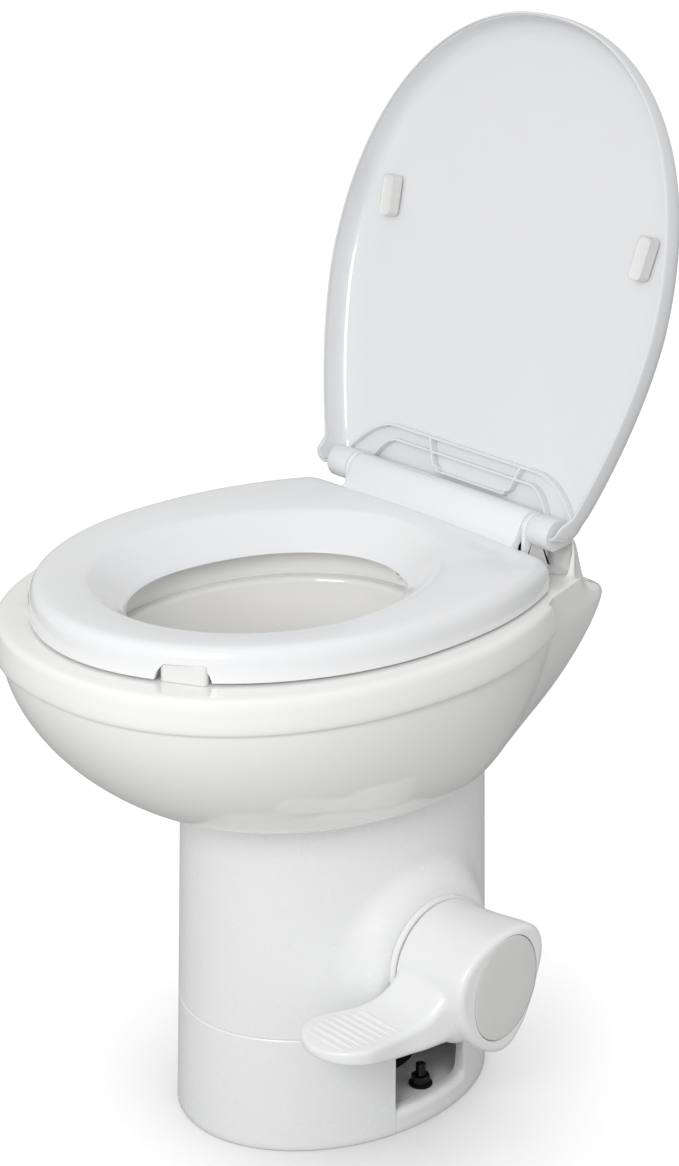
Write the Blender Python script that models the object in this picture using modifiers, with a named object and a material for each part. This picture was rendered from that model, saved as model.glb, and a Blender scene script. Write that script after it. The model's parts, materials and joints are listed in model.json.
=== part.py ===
"""Gravity-flush toilet for a motorhome: bowl on an oval pedestal, foot pedal on the right.

Metres, +Z up, the front of the bowl toward -Y and the pedal on the +X side.
Sizes are measured from the pedestal's upright centre line, and one empty carries
the whole part, so that its floor origin lies under the middle of the open toilet.
"""
import math

import bmesh
import bpy
import numpy as np
from mathutils import Matrix, Vector

# General sizes
GAP = 0.0003
MERGE = 0.00001
OVERRUN = 0.004
HALF_COLUMNS = 22
SMOOTH_ANGLE = math.radians(35)

# Pedestal
PEDESTAL_TOP_WIDTH = 0.1001
PEDESTAL_TOP_DEPTH = 0.1314
PEDESTAL_FLOOR_WIDTH = 0.107
PEDESTAL_FLOOR_DEPTH = 0.1372
NECK_Z = 0.2723
PEDESTAL_WALL = 0.0045
PEDESTAL_LIP = 0.011
PEDESTAL_FOOT = 0.016
BASE_TOP_Z = 0.018
BASE_BOTTOM_Z = 0.010
BASE_HOLE_R = 0.0545
WINDOW_FRONT_Y = -0.028
WINDOW_REAR_Y = 0.050
WINDOW_LOW_Z = 0.0195
WINDOW_HIGH_Z = 0.080
WINDOW_CORNER = 0.007

# Boss for the pedal
PEDAL_Y = 0.003
PEDAL_Z = 0.150
BOSS_X = 0.1125
BOSS_R = 0.0525
BOSS_FILLET = 0.011

# Flush valve
OUTLET_Y = 0.016
SHAFT_Z = 0.170
SHAFT_R = 0.0055
SHAFT_ENTRY = 0.008
BUSHING_WALL = 0.0025
BALL_R = 0.046
BALL_WALL = 0.003
BALL_HUB_R = 0.0095
BALL_HUB_LENGTH = 0.009
CHAMBER_R = 0.0495
VALVE_WALL = 0.003
DROP_R = 0.0425
DROP_SHOULDER_Z = 0.118
DROP_NECK_Z = 0.104
FLANGE_R = 0.062
FLANGE_HEIGHT = 0.010
SEAL_LOW_Z = 0.1983
SEAL_THICKNESS = 0.0044
CLAMP_THICKNESS = 0.004
CLAMP_LIP = 0.006
CLAMP_SPLIT = 0.003
CLAMP_EAR = 0.011
CLAMP_SCREW_R = 0.0022
CLAMP_SCREW_HEAD_R = 0.004

# Bowl
OUTLET_R = 0.038
OUTLET_TOP_Z = 0.226
SPIGOT_WALL = 0.007
RIM_Z = 0.4305
BAND_WIDTH = 0.1857
BAND_FRONT = 0.2264
WIDEST_Y = -0.0489
BAND_REAR_WIDTH = 0.1498
BAND_RUN = 0.1408
BAND_SIDE_POWER = 2.076
BAND_NOSE_POWER = 2.2
BAND_END_Y = 0.081
BAND_END_STEP = 0.0015
BAND_PROUD = 0.0045
BAND_LOW_Z = 0.4035
BLOCK_REAR_WIDTH = 0.118
BLOCK_REAR_Y = 0.1875
BLOCK_CORNER = 0.022
RIM_ROUND = 0.006
DECK_FLAT_Y = 0.137
DECK_REAR_Z = 0.4175
RIM_INSET = 0.020
BOWL_WALL = 0.006
SKIN = 0.005
OPENING_WIDTH = 0.112
OPENING_FRONT_Y = -0.222
OPENING_REAR_Y = 0.078
OPENING_WIDEST_Y = -0.062
LEDGE_DROP = 0.0285
LEDGE_TAPER = 0.004
LEDGE_WIDTH = 0.008
LEDGE_FALL = 0.003
NOZZLE_X = -0.005
NOZZLE_Z = 0.4135
NOZZLE_R = 0.0065

# Seat and its hinge
HINGE_Y = 0.1145
HINGE_Z = 0.466
SEAT_LOW_Z = 0.4335
SEAT_HEIGHT = 0.0235
SEAT_WIDTH = 0.1656
SEAT_FRONT = 0.2041
SEAT_REAR_WIDTH = 0.1352
SEAT_RUN = 0.1408
SEAT_SIDE_POWER = 2.343
SEAT_NOSE_POWER = 2.0
SEAT_REAR_Y = 0.0985
SEAT_CORNER = 0.006
SEAT_OPEN_WIDTH = 0.1075
SEAT_OPEN_FRONT_Y = -0.208
SEAT_OPEN_REAR_Y = 0.066
SEAT_OPEN_WIDEST_Y = -0.0797
SEAT_ROLL = 0.023
SEAT_SHELL = 0.0045
SEAT_CENTRE_Y = -0.07
BARREL_R = 0.013
BARREL_END_X = 0.083
POST_INNER_X = 0.0863
POST_OUTER_X = 0.0997
POST_R = 0.0125
POST_FOOT = 0.004
POST_FOOT_HEIGHT = 0.003
STUD_R = 0.004
STUD_LENGTH = 0.036
HINGE_NUT_R = 0.010
HINGE_NUT_HEIGHT = 0.009
PIN_R = 0.004
PIN_DEPTH = 0.016
LID_BARREL_OUTER_X = 0.1125
PIN_HEAD = 0.0015
PIN_HEAD_R = 0.0052
RAMP_FRONT_Y = 0.079
BUMPER_X = 0.085
BUMPER_Y = -0.200
BUMPER_WIDTH = 0.034
BUMPER_DEPTH = 0.010

# Lid
LID_WIDTH = 0.1722
LID_LENGTH = 0.3762
LID_WIDEST = 0.1648
LID_REAR_WIDTH = 0.1352
LID_SIDE_POWER = 1.66
LID_NOSE_POWER = 2.15
LID_REAR_EDGE = 0.004
LID_CORNER = 0.010
LID_CENTRE = 0.190
LID_LIP = 0.005
LID_CROWN = 0.0255
LID_SHOULDER = 0.0205
LID_SKIN = 0.003
LID_SLOPE = 0.038
LID_OPEN = math.radians(105.8)
LID_NOTCH_DEPTH = 0.020
LID_HINGE_WALL_X = 0.118
LID_STEP = 0.006
ARCH_HALF_WIDTH = 0.124
ARCH_LOW = 0.0145
ARCH_HIGH = 0.041
ARCH_FLAT = 0.080
ARCH_BAND = 0.008
LID_BUMPER_X = 0.135
LID_BUMPER_V = 0.215
LID_BUMPER_R = 0.0065

# Foot pedal
PEDAL_INNER_X = 0.1183
PEDAL_FACE_X = 0.187
PEDAL_HUB_R = 0.048
FACE_WIDTH = 0.0443
FACE_HEIGHT = 0.0519
FACE_TILT = math.radians(18.6)
FACE_ROUND = 0.005
CAP_WIDTH = 0.0319
CAP_HEIGHT = 0.0422
CAP_TILT = math.radians(11.8)
CAP_SHIFT = 0.001
CAP_THICKNESS = 0.0035
CAP_GAP = 0.0009
CAP_LEDGE = 0.004
HUB_BORE_R = 0.0445
HUB_BORE_END_X = 0.172
ARM_LENGTH = 0.150
RIDGES = 8
RIDGE_FIRST_Y = -0.078
RIDGE_LAST_Y = -0.1235
RIDGE_HEIGHT = 0.0014
RIDGE_WIDTH = 0.0032
RIDGE_MARGIN = 0.003

# Gear train
MODULE = 0.0015
RING_TEETH = 48
PINION_TEETH = 16
GEAR_INNER_X = 0.1205
GEAR_FACE = 0.011
GEAR_BACKLASH = 0.0006
GEAR_ADDENDUM = 0.0012
GEAR_DEDENDUM = 0.0017
GEAR_RIM_R = 0.0442
GEAR_PLATE = 0.003
GEAR_HUB_R = 0.014
GEAR_HUB_LENGTH = 0.012
AXLE_R = 0.009
BEARING_THICKNESS = 0.0045
BEARING_R = 0.049
BEARING_LIP_R = 0.0455
SPRING_R = 0.030
SPRING_LENGTH = 0.0105
SCREW_HEAD_R = 0.0125
SCREW_HEAD = 0.003

# Water side
CAM_X = -0.062
CAM_WIDTH = 0.007
CAM_LOW_R = 0.0062
CAM_LIFT = 0.006
PLUNGER_R = 0.004
PLUNGER_TIP_R = 0.001
PLUNGER_LENGTH = 0.034
PLUNGER_GAP = 0.0006
WATER_VALVE_FRONT_Y = 0.044
WATER_VALVE_REAR_Y = 0.078
WATER_VALVE_R = 0.0125
WATER_VALVE_BORE = 0.026
INLET_X = CAM_X
INLET_Z = SHAFT_Z
INLET_R = 0.0085
INLET_BORE_R = 0.0055
INLET_END_Y = 0.138
INLET_COLLAR_R = 0.0115
INLET_COLLAR = 0.006
HOSE_R = 0.0045
BREAKER_R = 0.013
BREAKER_X = -0.045
BREAKER_Y = 0.105
BREAKER_LOW_Z = 0.345
BREAKER_HIGH_Z = 0.388
NOZZLE_BORE_R = 0.003
NOZZLE_FRONT_Y = 0.0705
NOZZLE_REAR_Y = 0.092

# Floor side
BOLT_X = 0.084
BOLT_Y = 0.017
BOLT_R = 0.004
BOLT_TOP_Z = 0.037
BOLT_HOLE_R = 0.0048
BOLT_HEAD_R = 0.0055
BOLT_HEAD = 0.0035
WASHER_R = 0.0095
WASHER_THICKNESS = 0.0015
NUT_R = 0.0078
NUT_HEIGHT = 0.0065
FLOOR_SEAL_R = 0.0535

# Places that follow from the sizes above
LID_TILT = LID_OPEN - math.radians(90)
LID_REACH_Y = HINGE_Y + LID_LENGTH * math.sin(LID_TILT) + LID_SHOULDER * math.cos(LID_TILT)
BOWL_FRONT_Y = WIDEST_Y - BAND_FRONT
ROW_SHIFT_Y = -(LID_REACH_Y + BOWL_FRONT_Y) / 2
SEAT_TOP_Z = SEAT_LOW_Z + SEAT_HEIGHT
SPIGOT_LOW_Z = SEAL_LOW_Z + SEAL_THICKNESS + GAP
VALVE_TOP_Z = SEAL_LOW_Z - GAP
RING_R = MODULE * RING_TEETH / 2
PINION_R = MODULE * PINION_TEETH / 2
PINION_ANGLE = math.atan2(SHAFT_Z - PEDAL_Z, OUTLET_Y - PEDAL_Y)
BUSHING_R = SHAFT_R + GAP + BUSHING_WALL
GEAR_HUB_END_X = GEAR_INNER_X + GEAR_FACE + GEAR_HUB_LENGTH
SPRING_END_X = GEAR_HUB_END_X + GAP + SPRING_LENGTH
AXLE_END_X = SPRING_END_X + GAP

COLLECTION = bpy.data.collections.new("rv_toilet")
CUTTERS = bpy.data.collections.new("rv_toilet_cutters")


def clear_scene():
    """Remove what the file holds and link the two collections."""
    for obj in list(bpy.data.objects):
        bpy.data.objects.remove(obj)
    for collection in (COLLECTION, CUTTERS):
        bpy.context.scene.collection.children.link(collection)


def make_material(name, colour, roughness, metallic=0):
    """One Principled material for one sub-part."""
    material = bpy.data.materials.new(name)
    material.use_nodes = True
    shader = material.node_tree.nodes["Principled BSDF"]
    shader.inputs["Base Color"].default_value = (*colour, 1)
    shader.inputs["Roughness"].default_value = roughness
    shader.inputs["Metallic"].default_value = metallic
    material.diffuse_color = (*colour, 1)
    return material


WHITE = (0.82, 0.83, 0.83)
WARM_WHITE = (0.80, 0.79, 0.77)
GREY = (0.50, 0.51, 0.52)
BLACK = (0.02, 0.02, 0.02)
STEEL = (0.60, 0.60, 0.60)
BRASS = (0.62, 0.45, 0.20)
NATURAL = (0.68, 0.67, 0.62)


def carry(obj, parent):
    """Parent a shape and its cutters, which are made in the same sizes."""
    obj.parent = parent
    obj.matrix_parent_inverse = Matrix.Translation(-Vector(parent["made_from"]))
    for modifier in obj.modifiers:
        if modifier.type == "BOOLEAN":
            carry(modifier.object, parent)


def link(obj, parent, colour, roughness=0.3, metallic=0):
    """Put a finished sub-part in the collection, with its parent and its material."""
    COLLECTION.objects.link(obj)
    carry(obj, parent)
    obj.data.materials.clear()
    obj.data.materials.append(make_material(obj.name, colour, roughness, metallic))
    return obj


def link_cutter(obj):
    """Put a cutter in its own collection, as wire and out of the render."""
    CUTTERS.objects.link(obj)
    obj.hide_render = True
    obj.display_type = "WIRE"
    return obj


def smooth(mesh):
    """Shade round forms smooth and keep their real edges sharp."""
    mesh.shade_smooth()
    mesh.set_sharp_from_angle(angle=SMOOTH_ANGLE)


def object_from(bm, name):
    """Turn a bmesh into an object that no collection holds yet."""
    mesh = bpy.data.meshes.new(name)
    bm.normal_update()
    bm.to_mesh(mesh)
    bm.free()
    smooth(mesh)
    return bpy.data.objects.new(name, mesh)


def loft(name, rows, wrap_rows=False, wrap_columns=False, caps=False, pole=None, flip=False):
    """Skin a list of sections, each a list of points of the same count."""
    bm = bmesh.new()
    grid = [[bm.verts.new(point) for point in row] for row in rows]
    row_count = len(grid)
    column_count = len(grid[0])
    for i in range(row_count if wrap_rows else row_count - 1):
        lower = grid[i]
        upper = grid[(i + 1) % row_count]
        for j in range(column_count if wrap_columns else column_count - 1):
            k = (j + 1) % column_count
            bm.faces.new((lower[j], lower[k], upper[k], upper[j]))
    if caps:
        bm.faces.new(list(reversed(grid[0])))
        bm.faces.new(grid[-1])
    if pole is not None:
        tip = bm.verts.new(pole)
        last = grid[-1]
        for j in range(column_count - 1):
            bm.faces.new((last[j], last[j + 1], tip))
    if flip:
        bmesh.ops.reverse_faces(bm, faces=bm.faces[:])
    return object_from(bm, name)


def turned(name, profile, steps=32, closed=True):
    """Turn a profile of (radius, height) points about Z; it runs down its outer side."""
    mesh = bpy.data.meshes.new(name)
    count = len(profile)
    edges = [(i, (i + 1) % count) for i in range(count if closed else count - 1)]
    mesh.from_pydata([(radius, 0, height) for radius, height in profile], edges, [])
    obj = bpy.data.objects.new(name, mesh)
    screw = obj.modifiers.new("Turn", "SCREW")
    screw.steps = steps
    screw.render_steps = steps
    screw.use_merge_vertices = True
    screw.merge_threshold = MERGE
    screw.use_smooth_shade = True
    return obj


def cylinder(name, radius, low, high, steps=32):
    """A plain cylinder along Z between two heights."""
    bm = bmesh.new()
    bmesh.ops.create_cone(bm, cap_ends=True, segments=steps, radius1=radius, radius2=radius,
                          depth=high - low, matrix=Matrix.Translation((0, 0, (low + high) / 2)))
    return object_from(bm, name)


def box(name, low, high):
    """A box between two corners."""
    size = Vector(high) - Vector(low)
    centre = (Vector(high) + Vector(low)) / 2
    bm = bmesh.new()
    bmesh.ops.create_cube(bm, size=1, matrix=Matrix.Translation(centre) @ Matrix.Diagonal((*size, 1)))
    return object_from(bm, name)


def prism(name, outline, low, high):
    """A straight solid along X over an outline of (y, z) points, seen from +X."""
    rows = [[(x, y, z) for y, z in outline] for x in (low, high)]
    return loft(name, rows, wrap_columns=True, caps=True)


def along_x(obj, y, z, x=0):
    """Lay a shape made along Z along +X, through a point."""
    obj.matrix_basis = Matrix.Translation((x, y, z)) @ Matrix.Rotation(math.radians(90), 4, "Y")
    return obj


def along_y(obj, x, z, y=0):
    """Lay a shape made along Z along +Y, through a point."""
    obj.matrix_basis = Matrix.Translation((x, y, z)) @ Matrix.Rotation(math.radians(-90), 4, "X")
    return obj


def boolean(obj, other, operation, solver="EXACT"):
    """Join or cut with another closed shape, which becomes a cutter."""
    link_cutter(other)
    modifier = obj.modifiers.new(operation.title(), "BOOLEAN")
    modifier.operation = operation
    modifier.solver = solver
    modifier.object = other


def bevel(obj, width, segments=2):
    """Round the sharp edges of a solid."""
    modifier = obj.modifiers.new("Round", "BEVEL")
    modifier.width = width
    modifier.segments = segments
    modifier.limit_method = "ANGLE"


def mirror(obj):
    """Complete a half that is open at the middle plane."""
    modifier = obj.modifiers.new("Mirror", "MIRROR")
    modifier.use_clip = True
    modifier.merge_threshold = MERGE


def circle(radius, count, start=0.0):
    """Points of a circle as (across, up)."""
    turn = 2 * math.pi / count
    return [(radius * math.cos(start + turn * i), radius * math.sin(start + turn * i))
            for i in range(count)]


def smoothstep(share):
    """Ease from 0 to 1."""
    share = min(max(share, 0.0), 1.0)
    return share * share * (3 - 2 * share)


# Plan outlines: half outlines of (x, y) points from the nose round to the rear
OUTLINE_POINTS = 90


def quarter(width, depth, centre_y, power, side):
    """A quarter of an oval from the middle (side -1 front, 1 rear) to its widest point."""
    points = []
    for i in range(OUTLINE_POINTS):
        angle = math.radians(90) * (1 - i / (OUTLINE_POINTS - 1))
        across = max(math.cos(angle), 0) ** (2 / power)
        along = max(math.sin(angle), 0) ** (2 / power)
        points.append((width * across, centre_y + side * depth * along))
    points[0] = (0, centre_y + side * depth)
    return points


def oval(width, front_y, rear_y, widest_y, power=2.0):
    """Half of an egg-shaped outline."""
    front = quarter(width, widest_y - front_y, widest_y, power, -1)
    rear = quarter(width, rear_y - widest_y, widest_y, 2.0, 1)
    return front + rear[::-1][1:]


def tub(width, front, widest_y, nose_power, side, corner_point, rear_y, corner):
    """Half outline with an oval nose, drawn-in sides and a straight rear edge.

    side is (run, rear width, power); corner_point is where the sides would meet the rear edge.
    """
    points = quarter(width, front, widest_y, nose_power, -1)
    run, rear_width, power = side
    for i in range(1, OUTLINE_POINTS):
        share = i / (OUTLINE_POINTS - 1)
        points.append((width - (width - rear_width) * share ** power, widest_y + run * share))
    start = Vector(points[-1])
    tip = Vector((corner_point, rear_y))
    straight = tip - start
    radius = min(corner, straight.length)
    first = tip - straight.normalized() * radius
    for i in range(1, OUTLINE_POINTS // 3):
        points.append(tuple(start.lerp(first, i * 3 / OUTLINE_POINTS)))
    last = tip - Vector((radius, 0))
    for i in range(OUTLINE_POINTS // 3 + 1):
        share = i / (OUTLINE_POINTS // 3)
        near = first.lerp(tip, share)
        far = tip.lerp(last, share)
        points.append(tuple(near.lerp(far, share)))
    for i in range(1, OUTLINE_POINTS):
        share = i / (OUTLINE_POINTS - 1)
        points.append((last.x * (1 - share), rear_y))
    return points


def polar(outline, centre_y):
    """Angles from the nose and radii of a half outline about a point of the middle plane."""
    data = np.array(outline)
    across = data[:, 0]
    along = data[:, 1] - centre_y
    return np.arctan2(across, -along), np.hypot(across, along)


def radii(outline, centre_y, angles):
    """Radii of a half outline at given angles from the nose."""
    known, radius = polar(outline, centre_y)
    order = np.argsort(known, kind="stable")
    return np.interp(angles, known[order], radius[order])


def even_angles(outline, centre_y, count, extra=()):
    """Angles at even steps along an outline, with extra ones added."""
    data = np.array(outline)
    known, _ = polar(outline, centre_y)
    lengths = np.concatenate(([0], np.cumsum(np.hypot(*np.diff(data, axis=0).T))))
    angles = list(np.interp(np.linspace(0, lengths[-1], count + 1), lengths, known))
    angles[0] = 0.0
    angles[-1] = math.pi
    for angle in extra:
        nearest = min(range(1, count), key=lambda i: abs(angles[i] - angle))
        angles[nearest] = angle
    return np.array(sorted(angles))


def row(radius, height, angles, centre_y):
    """One section as points, from radii and heights by angle from the nose."""
    heights = np.broadcast_to(height, angles.shape)
    points = []
    for angle, reach, z in zip(angles, radius, heights):
        x = reach * math.sin(angle)
        if angle in (0.0, math.pi):
            x = 0
        points.append((x, centre_y - reach * math.cos(angle), float(z)))
    return points


def pedestal_row(level, inset=0.0, angles=None):
    """Whole ring of the pedestal's wall at a height, drawn in by an inset."""
    share = level / NECK_Z
    width = PEDESTAL_FLOOR_WIDTH + (PEDESTAL_TOP_WIDTH - PEDESTAL_FLOOR_WIDTH) * share
    depth = PEDESTAL_FLOOR_DEPTH + (PEDESTAL_TOP_DEPTH - PEDESTAL_FLOOR_DEPTH) * share
    points = []
    for angle in angles:
        x = (width - inset) * math.cos(angle)
        y = (depth - inset) * math.sin(angle)
        if x > 0:
            reach = math.hypot(y - PEDAL_Y, level - PEDAL_Z)
            rise = 1 - smoothstep((reach - BOSS_R) / BOSS_FILLET)
            x += (BOSS_X - inset - x) * rise
        points.append((x, y, level))
    return points


def make_pedestal(parent):
    """Oval skirt with a base plate, the boss for the pedal and the two bolt windows."""
    columns = 48
    levels = 14
    angles = [2 * math.pi * i / columns for i in range(columns)]
    top = NECK_Z - GAP
    rows = [pedestal_row(top * i / levels, 0.0, angles) for i in range(levels + 1)]
    rows.append(pedestal_row(top, PEDESTAL_LIP, angles))
    lip_low = top - PEDESTAL_LIP
    rows.append(pedestal_row(lip_low, PEDESTAL_LIP, angles))
    rows.append(pedestal_row(lip_low - PEDESTAL_LIP, PEDESTAL_WALL, angles))
    inner_levels = 7
    for i in range(1, inner_levels + 1):
        level = lip_low - PEDESTAL_LIP + (BASE_TOP_Z - lip_low + PEDESTAL_LIP) * i / inner_levels
        rows.append(pedestal_row(level, PEDESTAL_WALL, angles))
    for level in (BASE_TOP_Z, BASE_BOTTOM_Z):
        rows.append([(BASE_HOLE_R * math.cos(a), OUTLET_Y + BASE_HOLE_R * math.sin(a), level) for a in angles])
    rows.append(pedestal_row(BASE_BOTTOM_Z, PEDESTAL_FOOT, angles))
    rows.append(pedestal_row(0.0, PEDESTAL_FOOT, angles))
    pedestal = loft("pedestal", rows, wrap_rows=True, wrap_columns=True)
    for side, name in ((1, "right"), (-1, "left")):
        low_x, high_x = sorted((side * (PEDESTAL_TOP_WIDTH - PEDESTAL_FOOT), side * (BOSS_X + PEDESTAL_FOOT)))
        window = box("window_" + name, (low_x, WINDOW_FRONT_Y, WINDOW_LOW_Z),
                     (high_x, WINDOW_REAR_Y, WINDOW_HIGH_Z))
        bevel(window, WINDOW_CORNER, 3)
        boolean(pedestal, window, "DIFFERENCE")
        bolt_hole = cylinder("bolt_hole_" + name, BOLT_HOLE_R, BASE_BOTTOM_Z - OVERRUN, BASE_TOP_Z + OVERRUN, 20)
        bolt_hole.location = (side * BOLT_X, BOLT_Y, 0)
        boolean(pedestal, bolt_hole, "DIFFERENCE")
    shaft_hole = cylinder("shaft_hole", BUSHING_R + GAP, BOSS_X - PEDESTAL_FOOT, BOSS_X + OVERRUN, 20)
    boolean(pedestal, along_x(shaft_hole, OUTLET_Y, SHAFT_Z), "DIFFERENCE")
    inlet_hole = cylinder("inlet_hole", INLET_R + GAP, PEDESTAL_TOP_DEPTH / 2, PEDESTAL_FLOOR_DEPTH + OVERRUN, 20)
    boolean(pedestal, along_y(inlet_hole, INLET_X, INLET_Z), "DIFFERENCE")
    return link(pedestal, parent, WHITE)


# Levels of the outer skin between the underside's edge and the deck, with how proud the band stands there
BAND_SHARES = ((0.015, 0.45), (0.08, 0.92), (0.30, 1.0), (0.62, 0.80), (0.82, 0.55))
BASIN_POWER = 1.3
UNDERSIDE_POWER = 1.65
REAR_UNDERSIDE_POWER = 1.3
UNDERSIDE_ROWS = 5
INNER_ROWS = 4


def belly(share, power):
    """Reach and height shares of the swelling underside, from 0 at its foot to 1 at its edge."""
    angle = math.radians(90) * share
    return math.sin(angle) ** (2 / power), 1 - math.cos(angle) ** (2 / power)


def bowl_outline(grow=0.0):
    """Outline of the bowl's body with its rear block."""
    side = (BAND_RUN, BAND_REAR_WIDTH + grow, BAND_SIDE_POWER)
    return tub(BAND_WIDTH + grow, BAND_FRONT + grow, WIDEST_Y, BAND_NOSE_POWER, side,
               BLOCK_REAR_WIDTH + grow, BLOCK_REAR_Y + grow, BLOCK_CORNER)


def make_bowl(parent):
    """Bowl shell: basin, rim band, rear deck, hanging skin down to the neck, and outlet spigot."""
    body = bowl_outline()
    end_angle = math.atan2(BAND_REAR_WIDTH, -BAND_END_Y)
    step = BAND_END_STEP / BAND_REAR_WIDTH
    angles = even_angles(body, 0, HALF_COLUMNS, (end_angle - step, end_angle + step))
    outer = radii(body, 0, angles)
    proud = np.where(angles < end_angle, BAND_PROUD, BAND_PROUD / 3)
    skin = outer - BAND_PROUD
    neck = radii(oval(PEDESTAL_TOP_WIDTH, -PEDESTAL_TOP_DEPTH, PEDESTAL_TOP_DEPTH, 0), 0, angles)
    opening = radii(oval(OPENING_WIDTH, OPENING_FRONT_Y, OPENING_REAR_Y, OPENING_WIDEST_Y), 0, angles)
    back = np.array([smoothstep((angle - math.radians(95)) / math.radians(50)) for angle in angles])
    outlet = np.array([OUTLET_Y * -math.cos(a) + math.sqrt(OUTLET_R ** 2 - (OUTLET_Y * math.sin(a)) ** 2)
                       for a in angles])
    reach_y = -outer * np.cos(angles)
    deck = RIM_Z - (RIM_Z - DECK_REAR_Z) * np.clip((reach_y - DECK_FLAT_Y) / (BLOCK_REAR_Y - DECK_FLAT_Y), 0, 1)
    flat = np.minimum(outer - RIM_INSET, DECK_FLAT_Y / np.maximum(-np.cos(angles), MERGE))
    flat = np.where(np.cos(angles) < -math.cos(math.radians(60)), flat, outer - RIM_INSET)
    ledge_z = RIM_Z - LEDGE_DROP
    rows = []

    def add(radius, height):
        rows.append(row(radius, height, angles, 0))

    add(opening, RIM_Z)
    add(opening - LEDGE_TAPER, ledge_z)
    rim_of_basin = opening - LEDGE_TAPER - LEDGE_WIDTH
    basin_z = ledge_z - LEDGE_FALL
    for i in range(INNER_ROWS):
        across, up = belly(1 - i / INNER_ROWS, BASIN_POWER)
        add(outlet + (rim_of_basin - outlet) * across, OUTLET_TOP_Z + (basin_z - OUTLET_TOP_Z) * up)
    add(outlet, OUTLET_TOP_Z)
    add(outlet, SPIGOT_LOW_Z)
    flange = outlet + FLANGE_R - OUTLET_R
    add(flange, SPIGOT_LOW_Z)
    add(flange, SPIGOT_LOW_Z + FLANGE_HEIGHT)
    spigot = outlet + SPIGOT_WALL
    add(spigot, SPIGOT_LOW_Z + FLANGE_HEIGHT)
    for i in range(1, INNER_ROWS + 1):
        across, up = belly(i / INNER_ROWS, BASIN_POWER)
        height = OUTLET_TOP_Z - BOWL_WALL + (basin_z - OUTLET_TOP_Z) * up
        add(spigot + (rim_of_basin - outlet) * across, height)
    add(opening + BOWL_WALL, ledge_z - BOWL_WALL)
    add(opening + BOWL_WALL, RIM_Z - BOWL_WALL)
    add(flat - BOWL_WALL, RIM_Z - BOWL_WALL)
    add(skin - BOWL_WALL, deck - BOWL_WALL)
    add(skin - SKIN, BAND_LOW_Z + SKIN)
    under = []
    for i in range(UNDERSIDE_ROWS, -1, -1):
        shares = [belly(i / UNDERSIDE_ROWS, UNDERSIDE_POWER + (REAR_UNDERSIDE_POWER - UNDERSIDE_POWER) * b)
                  for b in back]
        across = np.array([s[0] for s in shares])
        up = np.array([s[1] for s in shares])
        under.append((neck + (skin - neck) * across, NECK_Z + (BAND_LOW_Z - NECK_Z) * up))
    for radius, height in under[1:]:
        add(radius - SKIN, height + SKIN / 2 * (height > NECK_Z + MERGE))
    for radius, height in reversed(under):
        add(radius, height)
    for share, proud_share in BAND_SHARES:
        add(skin + proud * proud_share, BAND_LOW_Z + (deck - BAND_LOW_Z) * share)
    add(skin + proud / 2 - RIM_ROUND / 2, deck)
    add(flat, RIM_Z)
    bowl = loft("bowl", rows, wrap_rows=True)
    mirror(bowl)
    for side, name in ((1, "right"), (-1, "left")):
        hole = cylinder("stud_hole_" + name, STUD_R + GAP, RIM_Z - BOWL_WALL - OVERRUN, RIM_Z + OVERRUN, 16)
        hole.location = (side * (POST_INNER_X + POST_OUTER_X) / 2, HINGE_Y, 0)
        boolean(bowl, hole, "DIFFERENCE")
    nozzle_hole = cylinder("nozzle_hole", NOZZLE_R, OPENING_REAR_Y - BOWL_WALL - OVERRUN,
                           OPENING_REAR_Y + BOWL_WALL + OVERRUN, 16)
    boolean(bowl, along_y(nozzle_hole, NOZZLE_X, NOZZLE_Z), "DIFFERENCE")
    return link(bowl, parent, WARM_WHITE, 0.15)


# Seat sections: share of the way from the opening to the outer edge, share of the height
SEAT_TOP_SHARES = ((0.0, 0.79), (0.05, 0.92), (0.28, 1.0), (0.66, 1.0), (0.90, 0.88), (0.985, 0.62), (1.0, 0.28))
SEAT_ROLL_SHARES = ((1.0, 0.0), (0.93, 0.22), (0.55, 0.55))
SEAT_HOLLOW_SHARES = ((0.02, 0.52), (0.86, 0.62))


def seat_outline():
    """Outer outline of the seat ring."""
    side = (SEAT_RUN, SEAT_REAR_WIDTH, SEAT_SIDE_POWER)
    return tub(SEAT_WIDTH, SEAT_FRONT, WIDEST_Y, SEAT_NOSE_POWER, side,
               SEAT_REAR_WIDTH - SEAT_CORNER, SEAT_REAR_Y, SEAT_CORNER)


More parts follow.
